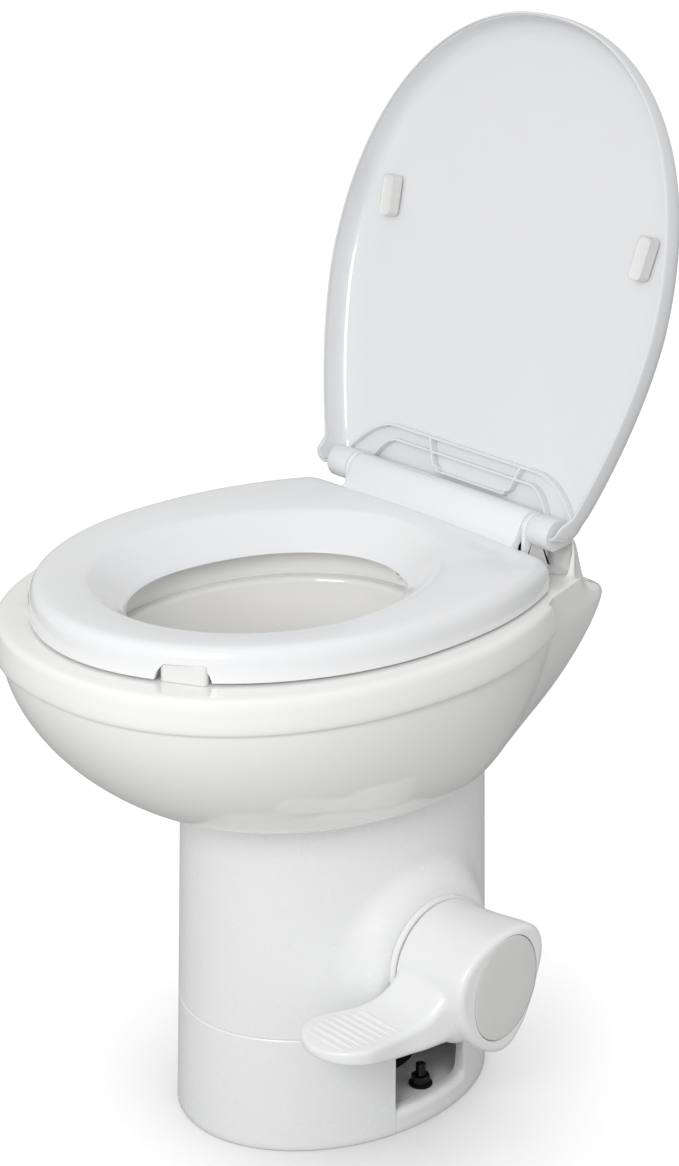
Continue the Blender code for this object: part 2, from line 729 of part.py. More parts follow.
def make_seat(parent):
    """Seat ring, hollow below, with the ramp and the barrel of its hinge."""
    outline = seat_outline()
    angles = even_angles(outline, SEAT_CENTRE_Y, HALF_COLUMNS)
    outer = radii(outline, SEAT_CENTRE_Y, angles)
    hole = oval(SEAT_OPEN_WIDTH, SEAT_OPEN_FRONT_Y, SEAT_OPEN_REAR_Y, SEAT_OPEN_WIDEST_Y)
    inner = radii(hole, SEAT_CENTRE_Y, angles)
    rows = []

    def add(radius, height):
        rows.append(row(radius, height, angles, SEAT_CENTRE_Y))

    for roll, up in SEAT_ROLL_SHARES:
        add(inner - SEAT_ROLL * roll, SEAT_LOW_Z + SEAT_HEIGHT * up)
    for share, up in SEAT_TOP_SHARES:
        add(inner + (outer - inner) * share, SEAT_LOW_Z + SEAT_HEIGHT * up)
    add(outer - SEAT_SHELL / 4, np.full(angles.shape, SEAT_LOW_Z))
    add(outer - SEAT_SHELL, np.full(angles.shape, SEAT_LOW_Z))
    for share, up in reversed(SEAT_HOLLOW_SHARES):
        add(inner + (outer - inner) * share, SEAT_LOW_Z + SEAT_HEIGHT * up)
    add(inner - SEAT_ROLL + SEAT_SHELL, np.full(angles.shape, SEAT_LOW_Z))
    seat = loft("seat", rows, wrap_rows=True, flip=True)
    mirror(seat)
    ramp = [(RAMP_FRONT_Y, SEAT_TOP_Z - SEAT_SHELL), (RAMP_FRONT_Y, SEAT_TOP_Z - GAP)]
    ramp.append((HINGE_Y - 1.75 * BARREL_R, SEAT_TOP_Z + BARREL_R / 6))
    ramp.append((HINGE_Y - 1.2 * BARREL_R, SEAT_TOP_Z + BARREL_R / 2))
    for i in range(11):
        angle = math.radians(150 - 24 * i)
        ramp.append((HINGE_Y + BARREL_R * math.cos(angle), HINGE_Z + BARREL_R * math.sin(angle)))
    ramp.append((SEAT_REAR_Y, HINGE_Z - BARREL_R))
    ramp.append((SEAT_REAR_Y - SEAT_SHELL, SEAT_LOW_Z + SEAT_SHELL))
    ramp.append((RAMP_FRONT_Y + SEAT_SHELL, SEAT_LOW_Z + SEAT_SHELL))
    boolean(seat, prism("seat_ramp", ramp[::-1], -BARREL_END_X, BARREL_END_X), "UNION")
    for side, name in ((1, "right"), (-1, "left")):
        low, high = sorted((side * (BARREL_END_X - PIN_DEPTH), side * (BARREL_END_X + OVERRUN)))
        bore = along_x(cylinder("seat_bore_" + name, PIN_R + GAP, low, high, 20), HINGE_Y, HINGE_Z)
        boolean(seat, bore, "DIFFERENCE")
    return link(seat, parent, WHITE, 0.18)


def shell_cylinder(name, outer, inner, low, high, steps=32):
    """A ring or sleeve along Z."""
    return turned(name, [(outer, high), (outer, low), (inner, low), (inner, high)], steps)


def make_hinge_side(parent, side, name):
    """One hinge post with its stud, the nut below the deck and the pin through the hinge."""
    foot_z = RIM_Z + GAP
    outline = [(HINGE_Y - POST_R - POST_FOOT, foot_z), (HINGE_Y + POST_R + POST_FOOT, foot_z),
               (HINGE_Y + POST_R + POST_FOOT, foot_z + POST_FOOT_HEIGHT / 2),
               (HINGE_Y + POST_R, foot_z + POST_FOOT_HEIGHT)]
    for i in range(13):
        angle = math.radians(15 * i)
        outline.append((HINGE_Y + POST_R * math.cos(angle), HINGE_Z + POST_R * math.sin(angle)))
    outline.append((HINGE_Y - POST_R, foot_z + POST_FOOT_HEIGHT))
    outline.append((HINGE_Y - POST_R - POST_FOOT, foot_z + POST_FOOT_HEIGHT / 2))
    low, high = sorted((side * POST_INNER_X, side * POST_OUTER_X))
    post = prism("hinge_post_" + name, outline, low, high)
    middle = (low + high) / 2
    stud = cylinder("stud_" + name, STUD_R, RIM_Z - STUD_LENGTH, foot_z + POST_FOOT_HEIGHT, 16)
    stud.location = (middle, HINGE_Y, 0)
    boolean(post, stud, "UNION")
    bore = cylinder("post_bore_" + name, PIN_R + GAP, low - OVERRUN, high + OVERRUN, 20)
    boolean(post, along_x(bore, HINGE_Y, HINGE_Z), "DIFFERENCE")
    link(post, parent, WHITE, 0.25)
    nut_top = RIM_Z - BOWL_WALL - GAP
    nut = turned("hinge_nut_" + name, [(HINGE_NUT_R, nut_top), (HINGE_NUT_R, nut_top - HINGE_NUT_HEIGHT / 3),
                                       (HINGE_NUT_R * 0.7, nut_top - HINGE_NUT_HEIGHT),
                                       (STUD_R + GAP, nut_top - HINGE_NUT_HEIGHT), (STUD_R + GAP, nut_top)], 12)
    nut.location = (middle, HINGE_Y, 0)
    link(nut, parent, NATURAL, 0.4)
    start = BARREL_END_X - PIN_DEPTH + GAP
    head = LID_BARREL_OUTER_X + GAP
    pin = turned("hinge_pin_" + name, [(0, head + PIN_HEAD), (PIN_HEAD_R, head + PIN_HEAD), (PIN_HEAD_R, head),
                                       (PIN_R, head), (PIN_R, start), (0, start)], 20, closed=False)
    pin.matrix_basis = Matrix.Translation((0, HINGE_Y, HINGE_Z)) @ Matrix.Rotation(math.radians(90 * side), 4, "Y")
    link(pin, parent, STEEL, 0.35, 1)


def make_seat_bumpers(parent):
    """Rubber blocks in the hollow of the seat, which stand on the rim."""
    for side, name in ((1, "right"), (-1, "left")):
        top = SEAT_LOW_Z + SEAT_HEIGHT * SEAT_HOLLOW_SHARES[0][1] - GAP
        block = box("seat_bumper_" + name, (-BUMPER_WIDTH / 2, -BUMPER_DEPTH / 2, RIM_Z + GAP),
                    (BUMPER_WIDTH / 2, BUMPER_DEPTH / 2, top))
        block.location = (side * BUMPER_X, BUMPER_Y, 0)
        block.rotation_euler.z = side * math.atan2(BUMPER_X, SEAT_CENTRE_Y - BUMPER_Y)
        bevel(block, BUMPER_DEPTH / 6, 1)
        link(block, parent, GREY, 0.6)


# Lid edge, from the lip up to the shoulder: shares of the slope's width and of its height
LID_EDGE_SHARES = ((0.02, 0.0), (-0.02, 0.22), (0.0, 0.46), (0.07, 0.68), (0.22, 0.86), (0.55, 0.97), (1.0, 1.0))
LID_INNER_SHARES = (0.72, 0.46, 0.20)
LID_HINGE_WALL_SHARE = 0.22


def lid_outline():
    """Outline of the lid about its hinge, nose toward -Y."""
    side = (LID_WIDEST - LID_CORNER, LID_REAR_WIDTH, LID_SIDE_POWER)
    return tub(LID_WIDTH, LID_LENGTH - LID_WIDEST, -LID_WIDEST, LID_NOSE_POWER, side,
               LID_REAR_WIDTH - LID_CORNER / 3, LID_REAR_EDGE, LID_CORNER)


def lid_height(share):
    """Height of the lid's outer face over its hinge plane, by share of the way to the shoulder."""
    return LID_CROWN - (LID_CROWN - LID_SHOULDER) * share ** 2.2


def arch_path(band):
    """Outline of the arched rib in front of the hinge, wound counterclockwise."""
    steps = 24
    points = []
    for i in range(steps + 1):
        x = ARCH_HALF_WIDTH * (2 * i / steps - 1)
        beyond = max(abs(x) - ARCH_FLAT, 0) / (ARCH_HALF_WIDTH - ARCH_FLAT)
        v = ARCH_HIGH - (ARCH_HIGH - ARCH_LOW) * beyond ** 2
        points.append((x * (1 - band / ARCH_HALF_WIDTH), band - v))
    return points


def make_lid(parent):
    """Domed lid, closed in its own frame: shell, arched rib, hinge barrels and webs."""
    outline = lid_outline()
    wall_angle = math.atan2(LID_HINGE_WALL_X, -(LID_CENTRE + LID_REAR_EDGE))
    step = LID_STEP / LID_CENTRE
    angles = even_angles(outline, -LID_CENTRE, HALF_COLUMNS + 2, (wall_angle - step, wall_angle + step))
    edge = radii(outline, -LID_CENTRE, angles)
    wall = np.where(angles < wall_angle, 1.0, LID_HINGE_WALL_SHARE)
    rows = []
    for inset, up in LID_EDGE_SHARES:
        height = LID_SHOULDER - (LID_SHOULDER + LID_LIP) * (1 - up) * wall
        rows.append(row(edge - LID_SLOPE * inset, height, angles, -LID_CENTRE))
    shoulder = edge - LID_SLOPE
    for share in LID_INNER_SHARES:
        rows.append(row(shoulder * share, lid_height(share), angles, -LID_CENTRE))
    lid = loft("lid", rows, pole=(0, -LID_CENTRE, LID_CROWN))
    mirror(lid)
    solidify = lid.modifiers.new("Wall", "SOLIDIFY")
    solidify.thickness = LID_SKIN
    solidify.offset = -1
    outer_arch = arch_path(0.0)
    inner_arch = arch_path(ARCH_BAND)
    loop = outer_arch + inner_arch[::-1]
    rib_rows = [[(x, y, z) for x, y in loop] for z in (-LID_LIP / 2, LID_SHOULDER - LID_SKIN / 2)]
    boolean(lid, loft("lid_rib", rib_rows, wrap_columns=True, caps=True), "UNION", "MANIFOLD")
    for side, name in ((1, "right"), (-1, "left")):
        low, high = sorted((side * (POST_OUTER_X + GAP), side * LID_BARREL_OUTER_X))
        outline = [(POST_R * math.cos(math.radians(a)), POST_R * math.sin(math.radians(a)))
                   for a in range(180, 361, 20)]
        outline += [(LID_REAR_EDGE, LID_SHOULDER - LID_SKIN / 2), (-POST_R / 2, LID_SHOULDER - LID_SKIN / 2)]
        barrel = prism("lid_barrel_" + name, outline, low, high)
        boolean(lid, barrel, "UNION", "MANIFOLD")
        bore = cylinder("lid_bore_" + name, PIN_R + GAP, low - OVERRUN, high + OVERRUN, 20)
        boolean(lid, along_x(bore, 0, 0), "DIFFERENCE", "MANIFOLD")
        low, high = sorted((side * (POST_INNER_X - 2 * GAP), side * (POST_OUTER_X + GAP)))
        notch = box("lid_notch_" + name, (low, -LID_NOTCH_DEPTH, -LID_LIP),
                    (high, LID_REAR_EDGE + OVERRUN, LID_CROWN + OVERRUN))
        boolean(lid, notch, "DIFFERENCE", "MANIFOLD")
    return link(lid, parent, WHITE, 0.18)


def make_lid_bumpers(parent):
    """Rubber feet inside the lid, which come down on the seat."""
    for side, name in ((1, "right"), (-1, "left")):
        reach = (LID_WIDTH - LID_BUMPER_X - LID_BUMPER_R) / LID_SLOPE
        drop = (LID_SHOULDER + LID_LIP) * (1 - float(np.interp(reach, *np.array(LID_EDGE_SHARES[1:]).T)))
        top = LID_SHOULDER - drop - LID_SKIN - 2 * GAP
        low = SEAT_TOP_Z - HINGE_Z + GAP
        foot = cylinder("lid_bumper_" + name, LID_BUMPER_R, low, top, 20)
        foot.location = (side * LID_BUMPER_X, -LID_BUMPER_V, 0)
        bevel(foot, LID_BUMPER_R / 5, 1)
        link(foot, parent, GREY, 0.6)


# Hub of the foot pedal: share of its length, share of the change from round to the face's shape
HUB_SHARES = ((0.0, 0.0), (0.28, 0.0), (0.48, 0.25), (0.68, 0.65), (0.84, 0.92), (0.93, 1.0))
HUB_SEGMENTS = 32


def hub_ring(x, width, height, tilt, shift=(0, 0)):
    """Ring of the pedal's hub: an oval about the pedal's axis, its top leaning to the rear."""
    points = []
    for across, up in circle(1, HUB_SEGMENTS):
        y = across * width * math.cos(tilt) + up * height * math.sin(tilt)
        z = -across * width * math.sin(tilt) + up * height * math.cos(tilt)
        points.append((x, PEDAL_Y + y + shift[0], PEDAL_Z + z + shift[1]))
    return points


def hub_rows(inset, last_share):
    """Rings along the hub, drawn in by an inset, up to a share of its length."""
    rows = []
    for share, change in HUB_SHARES:
        if share > last_share:
            break
        width = PEDAL_HUB_R + (FACE_WIDTH - PEDAL_HUB_R) * change - inset
        height = PEDAL_HUB_R + (FACE_HEIGHT - PEDAL_HUB_R) * change - inset
        shift = (-PEDAL_Y * change, CAP_SHIFT * change)
        rows.append(hub_ring(PEDAL_INNER_X + (PEDAL_FACE_X - PEDAL_INNER_X) * share, width, height, FACE_TILT, shift))
    return rows


# Foot arm: share of its length, inner and outer side as shares of the hub's length, top and bottom as shares
# of the hub's radius over the axis
ARM_SHARES = ((0.13, 0.02, 0.68, 0.20, -0.92), (0.34, 0.015, 0.66, 0.0, -0.90), (0.42, -0.13, 0.61, -0.22, -0.89),
              (0.52, -0.235, 0.52, -0.37, -0.86), (0.66, -0.19, 0.47, -0.41, -0.83), (0.80, -0.11, 0.40, -0.43, -0.79),
              (0.90, -0.03, 0.32, -0.46, -0.74), (0.96, 0.05, 0.25, -0.50, -0.70))


def arm_section(share):
    """Inner and outer side, top and bottom of the arm at a share of its length."""
    table = np.array(ARM_SHARES)
    inner, outer, top, low = (np.interp(share, table[:, 0], table[:, i]) for i in range(1, 5))
    length = PEDAL_FACE_X - PEDAL_INNER_X
    return (PEDAL_INNER_X + length * inner, PEDAL_INNER_X + length * outer,
            PEDAL_Z + PEDAL_HUB_R * top, PEDAL_Z + PEDAL_HUB_R * low)


def arm_row(share):
    """Rounded section of the arm."""
    inner, outer, top, low = arm_section(share)
    round_x = (outer - inner) / 6
    round_z = (top - low) / 5
    y = PEDAL_Y - ARM_LENGTH * share
    corners = ((inner, low, 1, 1), (outer, low, -1, 1), (outer, top, -1, -1), (inner, top, 1, -1))
    points = []
    for i, (x, z, in_x, in_z) in enumerate(corners):
        pair = [(x, y, z + in_z * round_z), (x + in_x * round_x * 0.3, y, z + in_z * round_z * 0.3),
                (x + in_x * round_x, y, z)]
        points += pair if i % 2 == 0 else pair[::-1]
    return points


def make_pedal(parent):
    """Foot pedal: hollow hub with a leaning oval face, arm and ribbed tread."""
    rows = hub_rows(0.0, 1.0)
    for inset, back in ((FACE_ROUND * 0.3, FACE_ROUND * 0.3), (FACE_ROUND, 0)):
        rows.append(hub_ring(PEDAL_FACE_X - back, FACE_WIDTH - inset, FACE_HEIGHT - inset, FACE_TILT,
                             (-PEDAL_Y, CAP_SHIFT)))
    pedal = loft("pedal", rows, wrap_columns=True, caps=True)
    stations = [s[0] for s in ARM_SHARES]
    arm = loft("pedal_arm", [arm_row(s) for s in stations], wrap_columns=True, caps=True)
    boolean(pedal, arm, "UNION")
    bm = bmesh.new()
    for i in range(RIDGES):
        y = RIDGE_FIRST_Y + (RIDGE_LAST_Y - RIDGE_FIRST_Y) * i / (RIDGES - 1)
        inner, outer, top, _ = arm_section((PEDAL_Y - y) / ARM_LENGTH)
        margin = (outer - inner) / 6 + RIDGE_MARGIN
        size = Vector((outer - inner - 2 * margin, RIDGE_WIDTH, 2 * RIDGE_HEIGHT))
        place = Matrix.Translation(((inner + outer) / 2, y, top)) @ Matrix.Diagonal((*size, 1))
        bmesh.ops.create_cube(bm, size=1, matrix=place)
    boolean(pedal, object_from(bm, "pedal_ridges"), "UNION")
    hollow = hub_rows(PEDAL_HUB_R - HUB_BORE_R, 0.70)
    hollow[0] = [(PEDAL_INNER_X - OVERRUN, y, z) for _, y, z in hollow[0]]
    hollow.append([(HUB_BORE_END_X, y, z) for _, y, z in hollow[-1]])
    boolean(pedal, loft("hub_hollow", hollow, wrap_columns=True, caps=True), "DIFFERENCE")
    recess_x = PEDAL_FACE_X - CAP_THICKNESS - GAP
    recess = [hub_ring(x, CAP_WIDTH + CAP_GAP, CAP_HEIGHT + CAP_GAP, CAP_TILT, (CAP_SHIFT, CAP_SHIFT))
              for x in (recess_x, PEDAL_FACE_X + OVERRUN)]
    boolean(pedal, loft("cap_recess", recess, wrap_columns=True, caps=True), "DIFFERENCE")
    access = [hub_ring(x, CAP_WIDTH - CAP_LEDGE, CAP_HEIGHT - CAP_LEDGE, CAP_TILT, (CAP_SHIFT, CAP_SHIFT))
              for x in (HUB_BORE_END_X - OVERRUN, PEDAL_FACE_X)]
    boolean(pedal, loft("cap_access", access, wrap_columns=True, caps=True), "DIFFERENCE")
    link(pedal, parent, WHITE, 0.25)
    cap = loft("pedal_cap", [hub_ring(x, CAP_WIDTH, CAP_HEIGHT, CAP_TILT, (CAP_SHIFT, CAP_SHIFT))
                             for x in (recess_x + GAP, PEDAL_FACE_X)], wrap_columns=True, caps=True)
    bevel(cap, CAP_THICKNESS / 6, 1)
    link(cap, parent, GREY, 0.35)


def tooth(pitch_r, count, index, outward):
    """Angles and radii of one tooth: a plain taper, thinned by the backlash."""
    half_pitch = math.pi * MODULE / 4 - GEAR_BACKLASH
    centre = 2 * math.pi * index / count
    slope = math.tan(math.radians(20))
    tip = pitch_r + outward * GEAR_ADDENDUM
    root = pitch_r - outward * GEAR_DEDENDUM
    at_tip = (half_pitch - GEAR_ADDENDUM * slope) / pitch_r
    at_root = (half_pitch + GEAR_DEDENDUM * slope) / pitch_r
    return [(centre - at_root, root), (centre - at_tip, tip), (centre + at_tip, tip), (centre + at_root, root)]


def gear_points(outline, x, y, z):
    """Points of a gear outline on a plane across X."""
    return [(x, y + r * math.cos(a), z + r * math.sin(a)) for a, r in outline]


def make_pedal_gear(parent):
    """Plate with a hub and an internal ring gear sector, carried in the pedal's hub."""
    inner = []
    step = 2 * math.pi / RING_TEETH
    centre = round((PINION_ANGLE - math.radians(15)) / step)
    toothed = range(centre - 5, centre + 6)
    relief = RING_R + GEAR_DEDENDUM
    for index in range(centre - 5, centre - 5 + RING_TEETH):
        if index in toothed:
            inner += tooth(RING_R, RING_TEETH, index, -1)
        elif index % 2 == 0:
            inner.append((index * step, relief))
    outer = [(a, GEAR_RIM_R) for a, _ in inner]
    low = GEAR_INNER_X
    high = GEAR_INNER_X + GEAR_FACE
    rows = [gear_points(outer, low, PEDAL_Y, PEDAL_Z), gear_points(outer, high, PEDAL_Y, PEDAL_Z),
            gear_points(inner, high, PEDAL_Y, PEDAL_Z), gear_points(inner, low, PEDAL_Y, PEDAL_Z)]
    gear = loft("pedal_gear", rows, wrap_rows=True, wrap_columns=True)
    plate = turned("gear_plate", [(GEAR_HUB_R, GEAR_HUB_END_X), (GEAR_HUB_R, high + GEAR_PLATE / 2),
                                  (GEAR_RIM_R - GAP, high + GEAR_PLATE / 2), (GEAR_RIM_R - GAP, high - GAP),
                                  (AXLE_R + GAP, high - GAP), (AXLE_R + GAP, GEAR_HUB_END_X)], 28)
    boolean(gear, along_x(plate, PEDAL_Y, PEDAL_Z), "UNION")
    link(gear, parent, BLACK, 0.5)


def make_pinion(parent):
    """Small gear on the ball's shaft, in mesh with the ring gear."""
    ring_step = 2 * math.pi / RING_TEETH
    step = 2 * math.pi / PINION_TEETH
    ring_phase = (PINION_ANGLE / ring_step) % 1
    turn = step / 2 - ring_phase * step
    outline = []
    for index in range(PINION_TEETH):
        outline += tooth(PINION_R, PINION_TEETH, index, 1)
    outline = [(a + PINION_ANGLE + turn, r) for a, r in outline]
    bore = [(a, SHAFT_R + GAP) for a, _ in outline]
    low = GEAR_INNER_X
    high = GEAR_INNER_X + GEAR_FACE - 3 * GAP
    rows = [gear_points(outline, low, OUTLET_Y, SHAFT_Z), gear_points(outline, high, OUTLET_Y, SHAFT_Z),
            gear_points(bore, high, OUTLET_Y, SHAFT_Z), gear_points(bore, low, OUTLET_Y, SHAFT_Z)]
    pinion = loft("pinion_gear", rows, wrap_rows=True, wrap_columns=True)
    link(pinion, parent, NATURAL, 0.45)


def make_pedal_mount(parent):
    """What the pedal turns on: bearing plate with axle, spring cartridge, screw and shaft bushing."""
    face = BOSS_X + GAP
    bearing = turned("pedal_bearing", [(0, AXLE_END_X), (AXLE_R, AXLE_END_X), (AXLE_R, face + BEARING_THICKNESS / 2),
                                       (BEARING_LIP_R, face + BEARING_THICKNESS / 2),
                                       (BEARING_LIP_R, face + BEARING_THICKNESS),
                                       (BEARING_R, face + BEARING_THICKNESS), (BEARING_R, face), (0, face)],
                     32, closed=False)
    along_x(bearing, PEDAL_Y, PEDAL_Z)
    hole = cylinder("bearing_hole", BUSHING_R + GAP, face - OVERRUN, face + BEARING_THICKNESS + OVERRUN, 20)
    boolean(bearing, along_x(hole, OUTLET_Y, SHAFT_Z), "DIFFERENCE")
    link(bearing, parent, WHITE, 0.35)
    bushing = shell_cylinder("shaft_bushing", BUSHING_R, SHAFT_R + GAP, BOSS_X - PEDESTAL_WALL,
                             face + BEARING_THICKNESS / 2, 20)
    link(along_x(bushing, OUTLET_Y, SHAFT_Z), parent, NATURAL, 0.4)
    spring = shell_cylinder("spring_cartridge", SPRING_R, AXLE_R + GAP, GEAR_HUB_END_X + GAP, SPRING_END_X, 28)
    link(along_x(spring, PEDAL_Y, PEDAL_Z), parent, STEEL, 0.4, 1)
    low = AXLE_END_X + GAP
    screw = cylinder("pedal_screw", SCREW_HEAD_R, low, low + SCREW_HEAD, 20)
    link(along_x(screw, PEDAL_Y, PEDAL_Z), parent, STEEL, 0.3, 1)


def make_ball(parent):
    """Half ball of the flush valve with the hubs of its two shafts."""
    outer = [(BALL_R * math.sin(math.radians(a)), BALL_R * math.cos(math.radians(a))) for a in range(0, 91, 15)]
    inner_r = BALL_R - BALL_WALL
    inner = [(inner_r * math.sin(math.radians(a)), inner_r * math.cos(math.radians(a))) for a in range(90, -1, -15)]
    inner[-1] = (0, inner_r)
    profile = [(max(r, 0), max(z, 0)) for r, z in outer + inner]
    ball = turned("flush_ball", profile, 32, closed=False)
    ball.location = (0, OUTLET_Y, SHAFT_Z)
    for side, name in ((1, "right"), (-1, "left")):
        low, high = sorted((side * (BALL_R - BALL_HUB_LENGTH), side * (BALL_R + GAP)))
        hub = cylinder("ball_hub_" + name, BALL_HUB_R, low, high, 20)
        boolean(ball, along_x(hub, OUTLET_Y, SHAFT_Z), "UNION")
        low, high = sorted((side * (BALL_R - SHAFT_ENTRY), side * (BALL_R + OVERRUN)))
        bore = cylinder("ball_bore_" + name, SHAFT_R + GAP, low, high, 16)
        boolean(ball, along_x(bore, OUTLET_Y, SHAFT_Z), "DIFFERENCE")
    link(ball, parent, WHITE, 0.3)
    start = BALL_R - SHAFT_ENTRY + GAP
    drive = cylinder("drive_shaft", SHAFT_R, start, GEAR_INNER_X + GEAR_FACE - 3 * GAP, 20)
    link(along_x(drive, OUTLET_Y, SHAFT_Z), parent, STEEL, 0.35, 1)


def cam_radius(angle):
    """Radius of the valve cam by angle from +Y toward +Z: a spiral over the quarter below +Y."""
    below = math.degrees(-angle) % 360
    if below <= 90:
        return CAM_LOW_R + CAM_LIFT * below / 90
    return CAM_LOW_R + CAM_LIFT * (1 - smoothstep((below - 98) / 50))


def make_cam(parent):
    """Stub shaft of the ball with the cam that opens the water valve."""
    start = BALL_R - SHAFT_ENTRY + GAP
    stub = along_x(cylinder("valve_cam", SHAFT_R, CAM_X - CAM_WIDTH / 2, -start, 20), OUTLET_Y, SHAFT_Z)
    count = 48
    rows = []
    for x in (CAM_X - CAM_WIDTH / 2 - GAP, CAM_X + CAM_WIDTH / 2):
        ring = []
        for i in range(count):
            angle = 2 * math.pi * i / count
            reach = cam_radius(angle)
            ring.append((x, OUTLET_Y + reach * math.cos(angle), SHAFT_Z + reach * math.sin(angle)))
        rows.append(ring)
    boolean(stub, loft("cam_disc", rows, wrap_columns=True, caps=True), "UNION")
    link(stub, parent, NATURAL, 0.4)


def make_plunger(parent):
    """Plunger of the water valve, with its pointed nose on the cam."""
    tip = OUTLET_Y + CAM_LOW_R + PLUNGER_GAP
    end = tip + PLUNGER_LENGTH
    profile = [(0, end), (PLUNGER_R, end), (PLUNGER_R, tip + PLUNGER_R), (PLUNGER_TIP_R, tip), (0, tip)]
    plunger = turned("valve_plunger", profile, 16, closed=False)
    link(along_y(plunger, CAM_X, SHAFT_Z), parent, BRASS, 0.3, 1)


def tube(name, points, radius):
    """A tube along a smooth route."""
    curve = bpy.data.curves.new(name, "CURVE")
    curve.dimensions = "3D"
    spline = curve.splines.new("BEZIER")
    spline.bezier_points.add(len(points) - 1)
    for bezier, point in zip(spline.bezier_points, points):
        bezier.co = point
        bezier.handle_left_type = "AUTO"
        bezier.handle_right_type = "AUTO"
    curve.resolution_u = 4
    curve.bevel_depth = radius
    curve.bevel_resolution = 1
    curve.use_fill_caps = True
    return bpy.data.objects.new(name, curve)


def make_water(parent):
    """Water valve with its inlet, rinse hose, vacuum breaker and rinse nozzle."""
    bore_end = WATER_VALVE_FRONT_Y + WATER_VALVE_BORE
    rear = WATER_VALVE_REAR_Y
    front = WATER_VALVE_FRONT_Y
    valve = turned("water_valve", [(0, rear), (WATER_VALVE_R, rear), (WATER_VALVE_R, front),
                                   (PLUNGER_R + GAP, front), (PLUNGER_R + GAP, bore_end), (0, bore_end)],
                   24, closed=False)
    link(along_y(valve, CAM_X, SHAFT_Z), parent, BLACK, 0.4)
    start = rear + GAP
    inlet = turned("water_inlet", [(0, INLET_END_Y - INLET_COLLAR), (INLET_BORE_R, INLET_END_Y - INLET_COLLAR),
                                   (INLET_BORE_R, INLET_END_Y), (INLET_R, INLET_END_Y), (INLET_R, start), (0, start)],
                   20, closed=False)
    link(along_y(inlet, INLET_X, INLET_Z), parent, NATURAL, 0.35)
    valve_top = SHAFT_Z + WATER_VALVE_R + GAP
    hose_y = (front + rear) / 2
    hose = tube("rinse_hose", [(CAM_X, hose_y, valve_top), (CAM_X, hose_y, valve_top + 3 * HOSE_R),
                               (BREAKER_X, BREAKER_Y - BREAKER_R, NECK_Z),
                               (BREAKER_X, BREAKER_Y, BREAKER_LOW_Z - 5 * HOSE_R),
                               (BREAKER_X, BREAKER_Y, BREAKER_LOW_Z - GAP)], HOSE_R)
    link(hose, parent, GREY, 0.4)
    breaker = cylinder("vacuum_breaker", BREAKER_R, BREAKER_LOW_Z, BREAKER_HIGH_Z, 24)
    breaker.location = (BREAKER_X, BREAKER_Y, 0)
    bevel(breaker, BREAKER_R / 6, 1)
    link(breaker, parent, BLACK, 0.4)
    riser = tube("rinse_tube", [(BREAKER_X, BREAKER_Y, BREAKER_HIGH_Z + GAP),
                                (BREAKER_X, BREAKER_Y, BREAKER_HIGH_Z + 2 * HOSE_R),
                                ((BREAKER_X + NOZZLE_X) / 2, BREAKER_Y + HOSE_R, NOZZLE_Z),
                                (NOZZLE_X, NOZZLE_REAR_Y + 2 * HOSE_R, NOZZLE_Z),
                                (NOZZLE_X, NOZZLE_REAR_Y + GAP, NOZZLE_Z)], HOSE_R)
    link(riser, parent, GREY, 0.4)
    nozzle = shell_cylinder("rinse_nozzle", NOZZLE_R - GAP, NOZZLE_BORE_R, NOZZLE_FRONT_Y, NOZZLE_REAR_Y, 20)
    link(along_y(nozzle, NOZZLE_X, NOZZLE_Z), parent, WHITE, 0.35)


def make_valve_body(parent):
    """Valve chamber with its drop tube, the bowl seal and the floor seal."""
    shell = CHAMBER_R + VALVE_WALL
    flange_low = VALVE_TOP_Z - FLANGE_HEIGHT
    profile = [(FLANGE_R, VALVE_TOP_Z), (FLANGE_R, flange_low), (shell, flange_low), (shell, DROP_SHOULDER_Z),
               (DROP_R + VALVE_WALL, DROP_NECK_Z), (DROP_R + VALVE_WALL, 0), (DROP_R, 0), (DROP_R, DROP_NECK_Z),
               (CHAMBER_R, DROP_SHOULDER_Z), (CHAMBER_R, VALVE_TOP_Z)]
    body = turned("valve_body", profile, 32)
    body.location = (0, OUTLET_Y, 0)
    hole = cylinder("shaft_holes", SHAFT_R + GAP, -shell - OVERRUN, shell + OVERRUN, 20)
    boolean(body, along_x(hole, OUTLET_Y, SHAFT_Z), "DIFFERENCE")
    link(body, parent, BLACK, 0.45)
    inner = math.sqrt((BALL_R + GAP) ** 2 - (SEAL_LOW_Z - SHAFT_Z) ** 2) + GAP
    seal = shell_cylinder("bowl_seal", FLANGE_R, inner, SEAL_LOW_Z, SEAL_LOW_Z + SEAL_THICKNESS)
    seal.location = (0, OUTLET_Y, 0)
    link(seal, parent, BLACK, 0.8)
    floor_seal = shell_cylinder("floor_seal", BASE_HOLE_R - 2 * GAP, DROP_R + VALVE_WALL + GAP, 0, BASE_TOP_Z)
    floor_seal.location = (0, OUTLET_Y, 0)
    link(floor_seal, parent, BLACK, 0.8)


